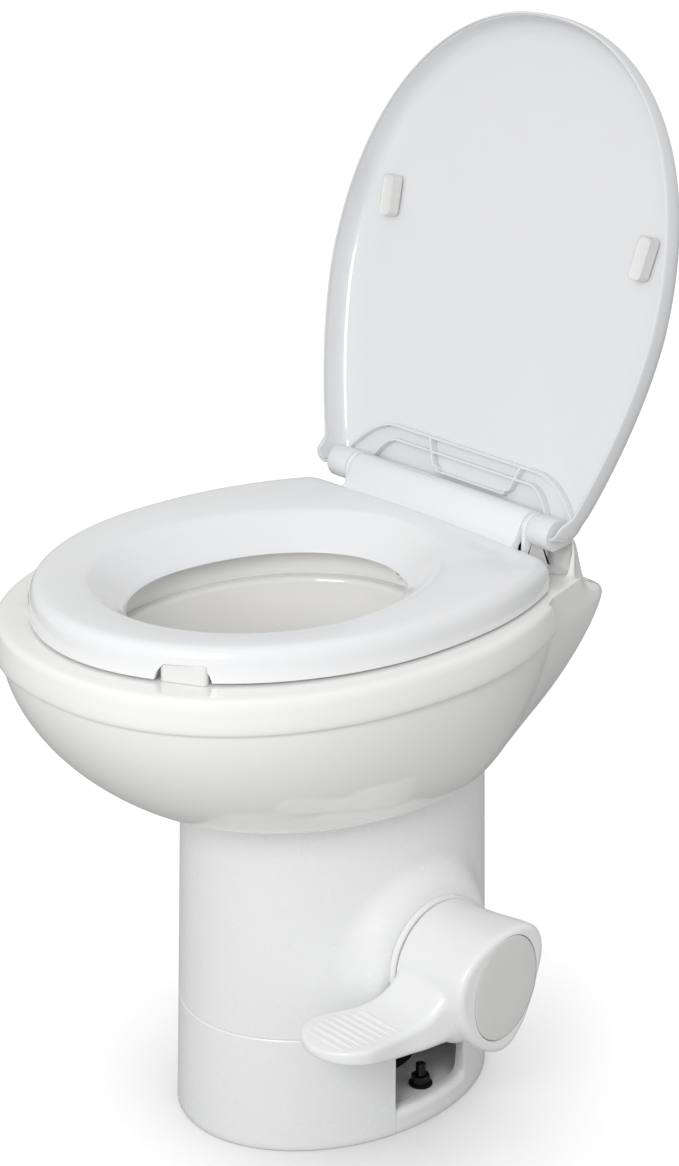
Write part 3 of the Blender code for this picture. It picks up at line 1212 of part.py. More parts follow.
def make_clamp(parent):
    """Two clamp halves round the flanges of bowl and valve, with their screws."""
    lip_r = FLANGE_R - CLAMP_LIP
    inner_r = FLANGE_R + GAP
    outer_r = inner_r + CLAMP_THICKNESS
    low = VALVE_TOP_Z - FLANGE_HEIGHT - GAP
    high = SPIGOT_LOW_Z + FLANGE_HEIGHT + GAP
    profile = [(outer_r, high + CLAMP_THICKNESS / 2), (outer_r, low - CLAMP_THICKNESS / 2),
               (lip_r, low - CLAMP_THICKNESS / 2), (lip_r, low), (inner_r, low), (inner_r, high),
               (lip_r, high), (lip_r, high + CLAMP_THICKNESS / 2)]
    middle = (low + high) / 2
    steps = 16
    gap_angle = CLAMP_SPLIT / 2 / outer_r
    for side, name in ((1, "right"), (-1, "left")):
        rows = []
        for i in range(steps + 1):
            angle = side * (-math.pi / 2 + gap_angle + (math.pi - 2 * gap_angle) * i / steps)
            rows.append([(side * r * math.cos(angle), OUTLET_Y + r * math.sin(angle), z) for r, z in profile])
        half = loft("clamp_half_" + name, rows, wrap_columns=True, caps=True)
        for end in (1, -1):
            inner_x, outer_x = sorted((side * CLAMP_SPLIT / 2, side * (CLAMP_SPLIT / 2 + CLAMP_THICKNESS)))
            near, far = sorted((OUTLET_Y + end * (inner_r + CLAMP_THICKNESS / 4),
                                OUTLET_Y + end * (outer_r + CLAMP_EAR)))
            ear = box("clamp_ear_%s_%d" % (name, end), (inner_x, near, low), (outer_x, far, high))
            boolean(half, ear, "UNION")
            hole = cylinder("clamp_hole_%s_%d" % (name, end), CLAMP_SCREW_R + GAP, inner_x - OVERRUN,
                            outer_x + OVERRUN, 12)
            centre_y = OUTLET_Y + end * (outer_r + CLAMP_EAR / 2)
            boolean(half, along_x(hole, centre_y, middle), "DIFFERENCE")
        link(half, parent, STEEL, 0.3, 1)
    grip = CLAMP_SPLIT / 2 + CLAMP_THICKNESS + GAP
    for end, name in ((-1, "front"), (1, "rear")):
        head = grip + CLAMP_SCREW_HEAD_R / 2
        screw = turned("clamp_screw_" + name, [(0, head), (CLAMP_SCREW_HEAD_R, head), (CLAMP_SCREW_HEAD_R, grip),
                                               (CLAMP_SCREW_R, grip), (CLAMP_SCREW_R, -grip - CLAMP_SCREW_R),
                                               (0, -grip - CLAMP_SCREW_R)], 12, closed=False)
        centre_y = OUTLET_Y + end * (outer_r + CLAMP_EAR / 2)
        link(along_x(screw, centre_y, middle), parent, STEEL, 0.3, 1)


def make_floor_bolts(parent):
    """Bolts that hold the pedestal to the floor, seen through its windows."""
    for side, name in ((1, "right"), (-1, "left")):
        washer_low = BASE_TOP_Z + GAP
        nut_low = washer_low + WASHER_THICKNESS + GAP
        head_high = BASE_BOTTOM_Z - GAP
        bolt = turned("floor_bolt_" + name, [(0, BOLT_TOP_Z), (BOLT_R, BOLT_TOP_Z), (BOLT_R, head_high),
                                             (BOLT_HEAD_R, head_high), (BOLT_HEAD_R, head_high - BOLT_HEAD),
                                             (0, head_high - BOLT_HEAD)], 16, closed=False)
        washer = shell_cylinder("floor_washer_" + name, WASHER_R, BOLT_R + GAP, washer_low,
                                washer_low + WASHER_THICKNESS, 20)
        nut_bore = (BOLT_R + GAP) / math.cos(math.pi / 6)
        nut = shell_cylinder("floor_nut_" + name, NUT_R, nut_bore, nut_low, nut_low + NUT_HEIGHT, 6)
        for piece in (bolt, washer, nut):
            piece.location = (side * BOLT_X, BOLT_Y, 0)
            link(piece, parent, BLACK, 0.35, 0.5)


def axis_empty(name, parent, place, made_from):
    """An empty on a joint's axis; made_from is where its pieces' sizes are measured from."""
    empty = bpy.data.objects.new(name, None)
    COLLECTION.objects.link(empty)
    empty.parent = parent
    empty.location = place
    empty["made_from"] = made_from
    return empty


def main():
    clear_scene()
    frame = axis_empty("toilet_frame", None, (0, ROW_SHIFT_Y, 0), (0, 0, 0))
    hinge = (0, HINGE_Y, HINGE_Z)
    seat_axis = axis_empty("seat_axis", frame, hinge, hinge)
    lid_axis = axis_empty("lid_axis", seat_axis, (0, 0, 0), (0, 0, 0))
    lid_axis.rotation_euler.x = -LID_OPEN
    pedal_place = (BOSS_X, PEDAL_Y, PEDAL_Z)
    pedal_axis = axis_empty("pedal_axis", frame, pedal_place, pedal_place)
    ball_place = (0, OUTLET_Y, SHAFT_Z)
    ball_axis = axis_empty("ball_axis", frame, ball_place, ball_place)
    make_pedestal(frame)
    make_bowl(frame)
    make_pedal_mount(frame)
    make_valve_body(frame)
    make_clamp(frame)
    make_water(frame)
    make_floor_bolts(frame)
    for side, name in ((1, "right"), (-1, "left")):
        make_hinge_side(frame, side, name)
    make_seat(seat_axis)
    make_seat_bumpers(seat_axis)
    make_lid(lid_axis)
    make_lid_bumpers(lid_axis)
    make_pedal(pedal_axis)
    make_pedal_gear(pedal_axis)
    make_ball(ball_axis)
    make_pinion(ball_axis)
    make_cam(ball_axis)
    make_plunger(frame)


main()
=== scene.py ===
"""Motorhome toilet with a foot pedal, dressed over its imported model.

Laid out as a Blender add-on and run as a script. Lengths are in metres and are measured
from the pedestal's upright centre line; finish_piece() moves each mesh to its place.
"""
import json
import math

import bmesh
import bpy
import numpy as np
from bpy.props import FloatProperty, FloatVectorProperty, IntProperty, PointerProperty
from bpy.types import Operator, Panel, PropertyGroup
from mathutils import Matrix, Vector


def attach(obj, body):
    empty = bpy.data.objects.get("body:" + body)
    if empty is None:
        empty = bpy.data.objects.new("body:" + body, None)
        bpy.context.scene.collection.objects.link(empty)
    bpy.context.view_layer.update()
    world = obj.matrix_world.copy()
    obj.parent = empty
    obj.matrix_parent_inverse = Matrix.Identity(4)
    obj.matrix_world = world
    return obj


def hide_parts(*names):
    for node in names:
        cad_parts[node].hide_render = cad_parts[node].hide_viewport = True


bl_info = {
    "name": "Motorhome Toilet",
    "version": (1, 0, 0),
    "blender": (4, 5, 0),
    "location": "View3D > Sidebar > Toilet",
    "description": "Builds the visible pieces, finishes and studio of a foot-pedal toilet",
    "category": "Object",
}

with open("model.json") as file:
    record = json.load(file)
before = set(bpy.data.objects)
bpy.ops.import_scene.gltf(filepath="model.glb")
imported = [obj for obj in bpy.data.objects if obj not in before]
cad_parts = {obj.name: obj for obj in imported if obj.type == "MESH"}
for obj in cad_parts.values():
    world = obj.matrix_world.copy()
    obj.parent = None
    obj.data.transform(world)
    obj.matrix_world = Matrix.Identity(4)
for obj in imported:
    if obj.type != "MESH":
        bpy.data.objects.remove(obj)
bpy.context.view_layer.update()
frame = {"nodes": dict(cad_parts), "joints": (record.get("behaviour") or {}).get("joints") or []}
JOINTS = {joint["name"]: joint for joint in frame["joints"]}
HINGE = Vector(JOINTS["seat_hinge"]["pos_m"])
LID_OPEN = math.radians(JOINTS["lid_hinge"]["range_deg"][1])
SIDES = ((1, "right"), (-1, "left"))
GAP = 0.0003
OUTLINE_POINTS = 240


def length(name, default, description):
    """A size in metres."""
    return FloatProperty(name=name, description=description, default=default, unit="LENGTH",
                         precision=4)


def colour(name, default, description):
    """A finish's colour."""
    return FloatVectorProperty(name=name, description=description, default=default, subtype="COLOR",
                               size=3, min=0, max=1)


class ToiletSizes(PropertyGroup):
    """Sizes of the pieces that show."""

    hinge_y: length("Hinge place", 0.1145, "How far the hinge line lies behind the pedestal's centre line")
    neck_z: length("Neck height", 0.2723, "Height of the seam between pedestal and bowl")
    top_width: length("Pedestal top width", 0.1001, "Half width of the pedestal at the neck")
    top_depth: length("Pedestal top depth", 0.1314, "Half depth of the pedestal at the neck")
    foot_width: length("Pedestal foot width", 0.107, "Half width of the pedestal at the floor")
    foot_depth: length("Pedestal foot depth", 0.1372, "Half depth of the pedestal at the floor")
    wall: length("Pedestal wall", 0.0045, "Thickness of the pedestal's wall")
    skirt_z: length("Skirt seam height", 0.096, "Height of the line round the skirt")
    seam_depth: length("Seam depth", 0.0007, "Depth of the pedestal's moulded lines")
    window_front: length("Window front", -0.028, "Front edge of the bolt windows")
    window_rear: length("Window rear", 0.050, "Rear edge of the bolt windows")
    window_low: length("Window bottom", 0.0195, "Lower edge of the bolt windows")
    window_high: length("Window top", 0.080, "Upper edge of the bolt windows")
    boss_x: length("Boss face", 0.1125, "How far the boss for the pedal stands out")
    boss_r: length("Boss radius", 0.0525, "Radius of the boss for the pedal")
    pedal_y: length("Pedal axis place", 0.003, "How far the pedal's axis lies behind the centre line")
    pedal_z: length("Pedal axis height", 0.150, "Height of the pedal's axis")
    hub_r: length("Pedal hub radius", 0.048, "Radius of the pedal's hub at the boss")
    hub_start: length("Pedal hub start", 0.1183, "Where the pedal's hub begins")
    hub_end: length("Pedal hub face", 0.187, "Where the pedal's hub ends")
    arm_length: length("Pedal arm length", 0.142, "Length of the pedal's arm from its axis")
    ridge_height: length("Ridge height", 0.0016, "Height of the ridges on the tread")
    ridge_width: length("Ridge width", 0.0036, "Width of the ridges on the tread")
    rim_z: length("Rim height", 0.4305, "Height of the bowl's rim")
    band_low_z: length("Band bottom", 0.4035, "Lower edge of the band round the bowl")
    band_width: length("Band width", 0.1854, "Half width of the band round the bowl")
    band_front: length("Band front", 0.2264, "Reach of the band in front of its widest place")
    band_proud: length("Band step", 0.0058, "How far the band stands out from the bowl")
    widest_y: length("Widest place", -0.0489, "Where bowl and seat are widest")
    seat_low_z: length("Seat underside", 0.4335, "Height of the seat's lower edge")
    seat_height: length("Seat height", 0.0235, "Height of the seat's edge")
    seat_width: length("Seat width", 0.1656, "Half width of the seat")
    seat_roll: length("Seat roll", 0.0265, "How far the seat's inner wall rolls in")
    barrel_r: length("Hinge barrel radius", 0.013, "Radius of the seat's hinge barrel")
    lid_width: length("Lid width", 0.1722, "Half width of the lid")
    lid_length: length("Lid length", 0.3758, "Length of the lid from its hinge")
    lid_crown: length("Lid crown", 0.0251, "Height of the closed lid over its hinge line")
    lid_skin: length("Lid thickness", 0.003, "Thickness of the lid's wall")
    rib_height: length("Rib height", 0.0085, "Height of the ribs inside the lid")
    rib_width: length("Rib width", 0.0020, "Thickness of the ribs inside the lid")
    ridges: IntProperty(name="Ridges", description="Number of ridges on the tread", default=8, min=1)
    threads: IntProperty(name="Thread turns", description="Thread turns on a floor bolt", default=9, min=1)


class ToiletColours(PropertyGroup):
    """Colours of the finishes."""

    shell: colour("White plastic", (0.885, 0.89, 0.89), "Pedestal and pedal")
    seat: colour("Seat white", (0.875, 0.88, 0.89), "Seat and hinge")
    # Painted shade: the lid is the seat's white plastic, made darker so that it looks shaded
    lid: colour("Lid white", (0.815, 0.82, 0.83), "Lid and its ribs")
    bowl: colour("Bowl white", (0.93, 0.925, 0.91), "Bowl, its band and its rear block")
    cap: colour("Cap grey", (0.74, 0.74, 0.73), "Blank cap on the pedal")
    bumper: colour("Bumper white", (0.80, 0.80, 0.79), "Bumpers of seat and lid")
    black: colour("Black steel", (0.025, 0.025, 0.027), "Floor bolts and their nuts")
    valve: colour("Valve black", (0.035, 0.035, 0.037), "Valve body and water valve")
    rubber: colour("Seal rubber", (0.06, 0.06, 0.062), "Seals")
    hose: colour("Hose grey", (0.42, 0.43, 0.44), "Rinse hose and tube")
    steel: colour("Steel", (0.60, 0.60, 0.59), "Shafts, clamps and screws")
    brass: colour("Brass", (0.62, 0.47, 0.23), "Plunger of the water valve")
    natural: colour("Natural nylon", (0.74, 0.73, 0.68), "Pinion, cam, bushing and hinge nuts")
    floor: colour("Floor white", (0.50, 0.50, 0.50), "Studio floor")


def sizes():
    return bpy.context.scene.toilet_sizes


def colours():
    return bpy.context.scene.toilet_colours


# Mesh helpers


def smooth_curve(points, count):
    """Smooth line through points, as an array of count points at even steps."""
    data = np.array(points, float)
    place = np.concatenate(([0], np.cumsum(np.linalg.norm(np.diff(data, axis=0), axis=1))))
    slope = np.gradient(data, place, axis=0)
    at = np.linspace(0, place[-1], count)
    index = np.clip(np.searchsorted(place, at) - 1, 0, len(place) - 2)
    span = (place[index + 1] - place[index])[:, None]
    t = (at - place[index])[:, None] / span
    first, second = data[index], data[index + 1]
    return (first * (2 * t ** 3 - 3 * t ** 2 + 1) + second * (3 * t ** 2 - 2 * t ** 3)
            + span * (slope[index] * (t ** 3 - 2 * t ** 2 + t) + slope[index + 1] * (t ** 3 - t ** 2)))


def smoothstep(share):
    """Ease from 0 to 1."""
    share = np.clip(share, 0, 1)
    return share * share * (3 - 2 * share)


def quarter(width, depth, centre_y, power, side):
    """Quarter of an oval from the middle plane (side -1 front, 1 rear) to its widest point."""
    angle = np.radians(90) * (1 - np.linspace(0, 1, OUTLINE_POINTS))
    across = np.clip(np.cos(angle), 0, 1) ** (2 / power) * width
    along = centre_y + side * depth * np.clip(np.sin(angle), 0, 1) ** (2 / power)
    across[0] = 0
    return np.stack((across, along), 1)


def oval(width, front_y, rear_y, widest_y):
    """Half of an egg-shaped outline."""
    front = quarter(width, widest_y - front_y, widest_y, 2, -1)
    rear = quarter(width, rear_y - widest_y, widest_y, 2, 1)
    return np.vstack((front, rear[::-1][1:]))


def tub(width, front, widest_y, nose_power, side, corner_x, rear_y, corner):
    """Half outline with an oval nose, drawn-in sides and a straight rear edge."""
    run, rear_width, power = side
    share = np.linspace(0, 1, OUTLINE_POINTS)[1:]
    sides = np.stack((width - (width - rear_width) * share ** power, widest_y + run * share), 1)
    start, tip = sides[-1], np.array((corner_x, rear_y))
    straight = tip - start
    radius = min(corner, np.linalg.norm(straight))
    first = tip - straight / np.linalg.norm(straight) * radius
    last = tip - (radius, 0)
    line = start + (first - start) * share[:, None]
    turn = np.linspace(0, 1, OUTLINE_POINTS // 3)[1:, None]
    near, far = first + (tip - first) * turn, tip + (last - tip) * turn
    rear = np.stack((last[0] * (1 - share), np.full(share.shape, rear_y)), 1)
    nose = quarter(width, front, widest_y, nose_power, -1)
    return np.vstack((nose, sides, line, near + (far - near) * turn, rear))


def polar(outline, centre_y):
    """Angles from the nose, and radii, about a point of the middle plane."""
    along = outline[:, 1] - centre_y
    return np.arctan2(outline[:, 0], -along), np.hypot(outline[:, 0], along)


def radii(outline, centre_y, angles):
    """Radii of a half outline at given angles from the nose."""
    known, radius = polar(outline, centre_y)
    order = np.argsort(known, kind="stable")
    return np.interp(angles, known[order], radius[order])


def spread(outline, centre_y, count, dense):
    """Angles at even steps along an outline, with closer ones at places (angle, reach, count)."""
    known, _ = polar(outline, centre_y)
    run = np.concatenate(([0], np.cumsum(np.hypot(*np.diff(outline, axis=0).T))))
    angles = np.interp(np.linspace(0, run[-1], count + 1), run, known)
    for angle, reach, extra in dense:
        angles = angles[np.abs(angles - angle) > reach]
        angles = np.concatenate((angles, np.linspace(angle - reach, angle + reach, extra)))
    angles = np.sort(angles)
    angles[0] = 0
    angles[-1] = math.pi
    return angles


def ring(radius, height, angles, centre_y=0.0):
    """Whole section from the radii of its right half."""
    radius = np.broadcast_to(radius, angles.shape)
    x = radius * np.sin(angles)
    x[0] = x[-1] = 0
    half = np.stack((x, centre_y - radius * np.cos(angles), np.broadcast_to(height, angles.shape)), 1)
    return np.vstack((half, half[-2:0:-1] * (-1, 1, 1)))


def skin(name, rings, closed=False, caps=(False, False)):
    """Skin sections of one point count; the faces point outwards on a closed shape."""
    rings = [np.asarray(r, float) for r in rings]
    count = len(rings[0])
    rows = len(rings)
    points = np.vstack(rings)
    across = np.arange(count)
    faces = []
    for i in range(rows if closed else rows - 1):
        low, high = i * count, (i + 1) % rows * count
        beside = (across + 1) % count
        faces.append(np.stack((low + across, low + beside, high + beside, high + across), 1))
    faces = np.vstack(faces).tolist()
    for flag, start in zip(caps, (0, (rows - 1) * count)):
        if flag:
            centre = len(points)
            points = np.vstack((points, points[start:start + count].mean(0)))
            faces += [(start + int(j), start + (int(j) + 1) % count, centre) for j in across]
    return mesh_object(name, points, faces)


def mesh_object(name, points, faces):
    """An object that no collection holds yet, with its faces outwards."""
    mesh = bpy.data.meshes.new(name)
    mesh.from_pydata(np.asarray(points).tolist(), [], faces)
    bm = bmesh.new()
    bm.from_mesh(mesh)
    bmesh.ops.remove_doubles(bm, verts=bm.verts, dist=1e-6)
    bmesh.ops.recalc_face_normals(bm, faces=bm.faces)
    bm.to_mesh(mesh)
    bm.free()
    return bpy.data.objects.new(name, mesh)


def turned(name, profile, place=(0, 0, 0), axis="Z", steps=64):
    """Turn a closed profile of (radius, height) points."""
    turn = np.linspace(0, 2 * math.pi, steps, endpoint=False)
    rings = [np.stack((r * np.cos(turn), r * np.sin(turn), np.full(steps, z)), 1) for r, z in profile]
    obj = skin(name, rings, closed=profile[0][0] > 0)
    if axis != "Z":
        swing = Matrix.Rotation(math.radians(90 if axis == "X" else -90), 4, "Y" if axis == "X" else "X")
        obj.data.transform(swing)
    obj.data.transform(Matrix.Translation(place))
    return obj


def solid(name, rings):
    """Skin sections and close both ends."""
    return skin(name, rings, caps=(True, True))


def arc(y, z, radius, degrees):
    """Points (y, z) of a circle at angles in degrees."""
    return [(y + radius * math.cos(math.radians(a)), z + radius * math.sin(math.radians(a))) for a in degrees]


def rounded_bar(width, depth, height, corner, segments):
    """Outline points (x, y) of a rounded rectangle, with its half sizes and corner radius."""
    points = []
    for quadrant, (sx, sy) in enumerate(((1, 1), (-1, 1), (-1, -1), (1, -1))):
        for i in range(segments + 1):
            turn = math.radians(90) * (quadrant + i / segments)
            points.append((sx * (width - corner) + corner * math.cos(turn),
                           sy * (depth - corner) + corner * math.sin(turn), height))
    return points


def modifier(obj, kind, **values):
    """Add a modifier with its values."""
    added = obj.modifiers.new(kind.title(), kind)
    for key, value in values.items():
        setattr(added, key, value)
    return added


def cut(obj, other, solver="MANIFOLD"):
    """Add a Boolean with another closed shape."""
    if not other.users_collection:
        bpy.context.scene.collection.objects.link(other)
    modifier(obj, "BOOLEAN", operation="DIFFERENCE", object=other, solver=solver)


def baked(obj):
    """Turn an object's modifiers into its plain mesh, and drop its cutters."""
    if not obj.users_collection:
        bpy.context.scene.collection.objects.link(obj)
    bpy.context.view_layer.update()
    mesh = bpy.data.meshes.new_from_object(obj.evaluated_get(bpy.context.evaluated_depsgraph_get()))
    if not mesh.polygons:
        raise RuntimeError(obj.name + " came out empty")
    cutters = [m.object for m in obj.modifiers if m.type == "BOOLEAN"]
    obj.modifiers.clear()
    obj.data = mesh
    for cutter in cutters:
        bpy.data.objects.remove(cutter)
    return obj


def joined(name, objects):
    """One object from several that have no modifiers."""
    bm = bmesh.new()
    for obj in objects:
        bm.from_mesh(obj.data)
        bpy.data.objects.remove(obj)
    mesh = bpy.data.meshes.new(name)
    bm.to_mesh(mesh)
    bm.free()
    return bpy.data.objects.new(name, mesh)


def paint(mesh, look, sharp):
    """Give a mesh one of the finishes, smooth but for its sharp edges."""
    mesh.materials.clear()
    mesh.materials.append(finish(look))
    mesh.shade_smooth()
    mesh.set_sharp_from_angle(angle=math.radians(sharp))


def finish_piece(obj, body, look, nodes=(), sharp=40):
    """Bring a piece to its place, give it one of the finishes and let it ride on a body."""
    if not obj.users_collection:
        bpy.context.scene.collection.objects.link(obj)
    obj.data.transform(Matrix.Translation((0, HINGE.y - sizes().hinge_y, 0)))
    paint(obj.data, look, sharp)
    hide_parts(*nodes)
    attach(obj, body)
    return obj


# Finishes


MIX_FIRST, MIX_SECOND, MIX_RESULT = 6, 7, 2


def feed(tree, node, inputs):
    """Give a node's inputs their values, or the sockets that feed them."""
    for key, value in inputs.items():
        if isinstance(value, bpy.types.NodeSocket):
            tree.links.new(value, node.inputs[key])
        else:
            node.inputs[key].default_value = value


def add_node(tree, kind, inputs, **settings):
    """Add a node with its settings and inputs."""
    node = tree.nodes.new(kind)
    for key, value in settings.items():
        setattr(node, key, value)
    feed(tree, node, inputs)
    return node


def finish_nodes(name):
    """A new material with its shader and the object's own coordinates."""
    material = bpy.data.materials.new(name)
    material.use_nodes = True
    tree = material.node_tree
    coordinates = tree.nodes.new("ShaderNodeTexCoord")
    return material, tree, tree.nodes["Principled BSDF"], coordinates.outputs["Object"]


def noise(tree, coordinates, scale, detail=2.0):
    """Noise over the surface."""
    inputs = {"Vector": coordinates, "Scale": scale, "Detail": detail}
    return add_node(tree, "ShaderNodeTexNoise", inputs).outputs["Fac"]


def ranged(tree, value, low, high):
    """Spread a noise between two values."""
    inputs = {"Value": value, "From Min": 0.3, "From Max": 0.7, "To Min": low, "To Max": high}
    return add_node(tree, "ShaderNodeMapRange", inputs).outputs["Result"]


def tinted(tree, value, base, shade):
    """Blend a colour, by a noise, with its darker shade."""
    blend = ranged(tree, value, 0, 1)
    inputs = {"Factor": blend, MIX_FIRST: (*[c * shade for c in base], 1), MIX_SECOND: (*base, 1)}
    return add_node(tree, "ShaderNodeMix", inputs, data_type="RGBA").outputs[MIX_RESULT]


def relief(tree, height, strength, distance):
    """Normals of a fine relief."""
    inputs = {"Height": height, "Strength": strength, "Distance": distance}
    return add_node(tree, "ShaderNodeBump", inputs).outputs["Normal"]


def moulded(name, base, roughness, shade=0.996, coat=0.0, metallic=0.0):
    """Moulded or cast finish: faint clouding, uneven gloss and a fine grain."""
    material, tree, shader, coordinates = finish_nodes(name)
    feed(tree, shader, {
        "Base Color": tinted(tree, noise(tree, coordinates, 40), base, shade),
        "Roughness": ranged(tree, noise(tree, coordinates, 30, 3), roughness * 0.95, roughness * 1.06),
        "Normal": relief(tree, noise(tree, coordinates, 700), 0.2, 0.00001),
        "Metallic": metallic, "Coat Weight": coat, "Coat Roughness": 0.05})
    material.diffuse_color = (*base, 1)
    return material


def drawn_metal(name, base, roughness):
    """Metal with fine lines along X."""
    material, tree, shader, coordinates = finish_nodes(name)
    stretched = add_node(tree, "ShaderNodeMapping", {"Vector": coordinates, "Scale": (0.05, 1, 1)})
    lines = noise(tree, stretched.outputs["Vector"], 1500)
    feed(tree, shader, {
        "Base Color": tinted(tree, lines, base, 0.85),
        "Roughness": ranged(tree, lines, roughness * 0.8, roughness * 1.3),
        "Normal": relief(tree, lines, 0.4, 0.00003), "Metallic": 1})
    material.diffuse_color = (*base, 1)
    return material


# What makes each finish, its material's name, its colour, its roughness and what sets it apart
MAKERS = {
    "seat": (moulded, "seat_white", "seat", 0.16, {"coat": 0.3}),
    # Lid: the seat's white plastic with painted shade, through its darker colour
    "lid": (moulded, "lid_white", "lid", 0.16, {"coat": 0.3}),
    "bowl": (moulded, "bowl_white", "bowl", 0.10, {"coat": 0.5}),
    "shell": (moulded, "pedestal_white", "shell", 0.27, {}),
    "pedal": (moulded, "pedal_white", "shell", 0.30, {}),
    "cap": (moulded, "cap_grey", "cap", 0.38, {}),
    "bumper": (moulded, "bumper_white", "bumper", 0.5, {}),
    "black": (moulded, "black_steel", "black", 0.35, {"shade": 0.7, "metallic": 0.6}),
    "valve": (moulded, "valve_black", "valve", 0.4, {"shade": 0.8}),
    "rubber": (moulded, "seal_rubber", "rubber", 0.75, {"shade": 0.8}),
    "hose": (moulded, "hose_grey", "hose", 0.42, {}),
    "natural": (moulded, "natural_nylon", "natural", 0.45, {}),
    "steel": (drawn_metal, "drawn_steel", "steel", 0.3, {}),
    "brass": (drawn_metal, "turned_brass", "brass", 0.28, {}),
}
FINISHES = {}


def finish(name):
    """One of the toilet's finishes, made when it is first asked for."""
    if name not in FINISHES:
        make, label, colour_name, roughness, options = MAKERS[name]
        FINISHES[name] = make(label, getattr(colours(), colour_name), roughness, **options)
    return FINISHES[name]


# Pedestal

WINDOW_LIP = 0.0012
WINDOW_CORNER = 0.006
WINDOW_REVEAL = 0.004
LIP_STEPS = 6
SILL = 0.0065
SEAM_HALF_WIDTH = 0.0007
SEAM_STOP_R, SEAM_STOP_RUN = 0.062, 0.02
CREASE_HALF_WIDTH = 0.0006
CREASE_STEP = 0.0003
BOSS_BLEND = 0.026
OUTLET_Y = 0.016
FLANGE_HOLE_R = 0.0545
BASE_TOP, BASE_LOW = 0.018, 0.010


def rounded_window(u, v, high_u, high_v):
    """Move points of a rectangle's edge, which starts at 0, on to rounded corners of radius 1."""
    u, v = u.copy(), v.copy()
    for near_u, into_u in ((0, 1), (high_u, -1)):
        for near_v, into_v in ((0, 1), (high_v, -1)):
            a, b = (u - near_u) * into_u, (v - near_v) * into_v
            inside = (a <= 1) & (b <= 1)
            turn = np.radians(90) * np.where(a < b, 1 - b, 1 + a)[inside] / 2
            u[inside] = near_u + into_u * (1 - np.cos(turn))
            v[inside] = near_v + into_v * (1 - np.sin(turn))
    return u, v


def pedestal_wall(turn, level, inset):
    """Points of the pedestal's wall by angle from +X and by height, with its moulded lines."""
    s = sizes()
    share = level / s.neck_z
    width = s.foot_width + (s.top_width - s.foot_width) * share
    depth = s.foot_depth + (s.top_depth - s.foot_depth) * share
    y0 = depth * np.sin(turn)
    reach = np.hypot(y0 - s.pedal_y, level - s.pedal_z)
    line = s.seam_depth * np.exp(-((level - s.skirt_z) / SEAM_HALF_WIDTH) ** 2)
    line = line * np.where(np.cos(turn) > 0, smoothstep((reach - SEAM_STOP_R) / SEAM_STOP_RUN), 1)
    below = level < s.window_low
    crease = s.seam_depth * np.exp(-((y0 - s.window_front) / CREASE_HALF_WIDTH) ** 2) * below
    inset = inset + line + crease + CREASE_STEP * ((y0 > s.window_front) & below & (y0 < s.window_rear))
    x = (width - inset) * np.cos(turn)
    y = (depth - inset) * np.sin(turn)
    rise = 1 - smoothstep((np.hypot(y - s.pedal_y, level - s.pedal_z) - s.boss_r) / BOSS_BLEND)
    x = np.where(x > 0, x + (s.boss_x - inset - x) * rise, x)
    return np.stack((x, y, level), -1)


def stepped(low, high, marks, coarse, fine, reach):
    """Values from low to high, closer around the marks."""
    values = [low]
    while values[-1] < high:
        near = min(abs(values[-1] - m) for m in marks)
        values.append(values[-1] + (fine if near < reach else coarse))
    values = np.array(values)
    for mark in (*marks, high):
        values[np.argmin(np.abs(values - mark))] = mark
    return np.unique(values[values <= high])


def bent_grid(turns, levels, low, high, corner):
    """Angles and levels of the wall's grid, bent round the corners of its windows.

    low and high are opposite corners of the right window, and corner its rounding, by angle and level.
    """
    turn, level = np.meshgrid(turns, levels)
    is_right = np.cos(turn) >= 0
    place = np.stack((np.where(is_right, turn, math.pi - turn), level), -1)
    low, high, corner = np.array(low), np.array(high), np.array(corner)
    centre, half = (low + high) / 2, (high - low) / 2
    size = np.abs((place - centre) / half).max(-1)
    fade = 1 - smoothstep((size - 1) / 0.5)
    near = (size >= 0.999) & (fade > 0)
    edge = centre + (place[near] - centre) / size[near][:, None]
    rounded = np.stack(rounded_window(*((edge - low) / corner).T, *(2 * half / corner)), -1)
    place[near] += (rounded * corner + low - edge) * (fade[near] * size[near])[:, None]
    return np.where(is_right, place[..., 0], math.pi - place[..., 0]), place[..., 1]


def bridge(faces, first, second):
    """Add the faces between two loops of point numbers."""
    faces += np.stack((first, np.roll(first, -1), np.roll(second, -1), second), 1).tolist()


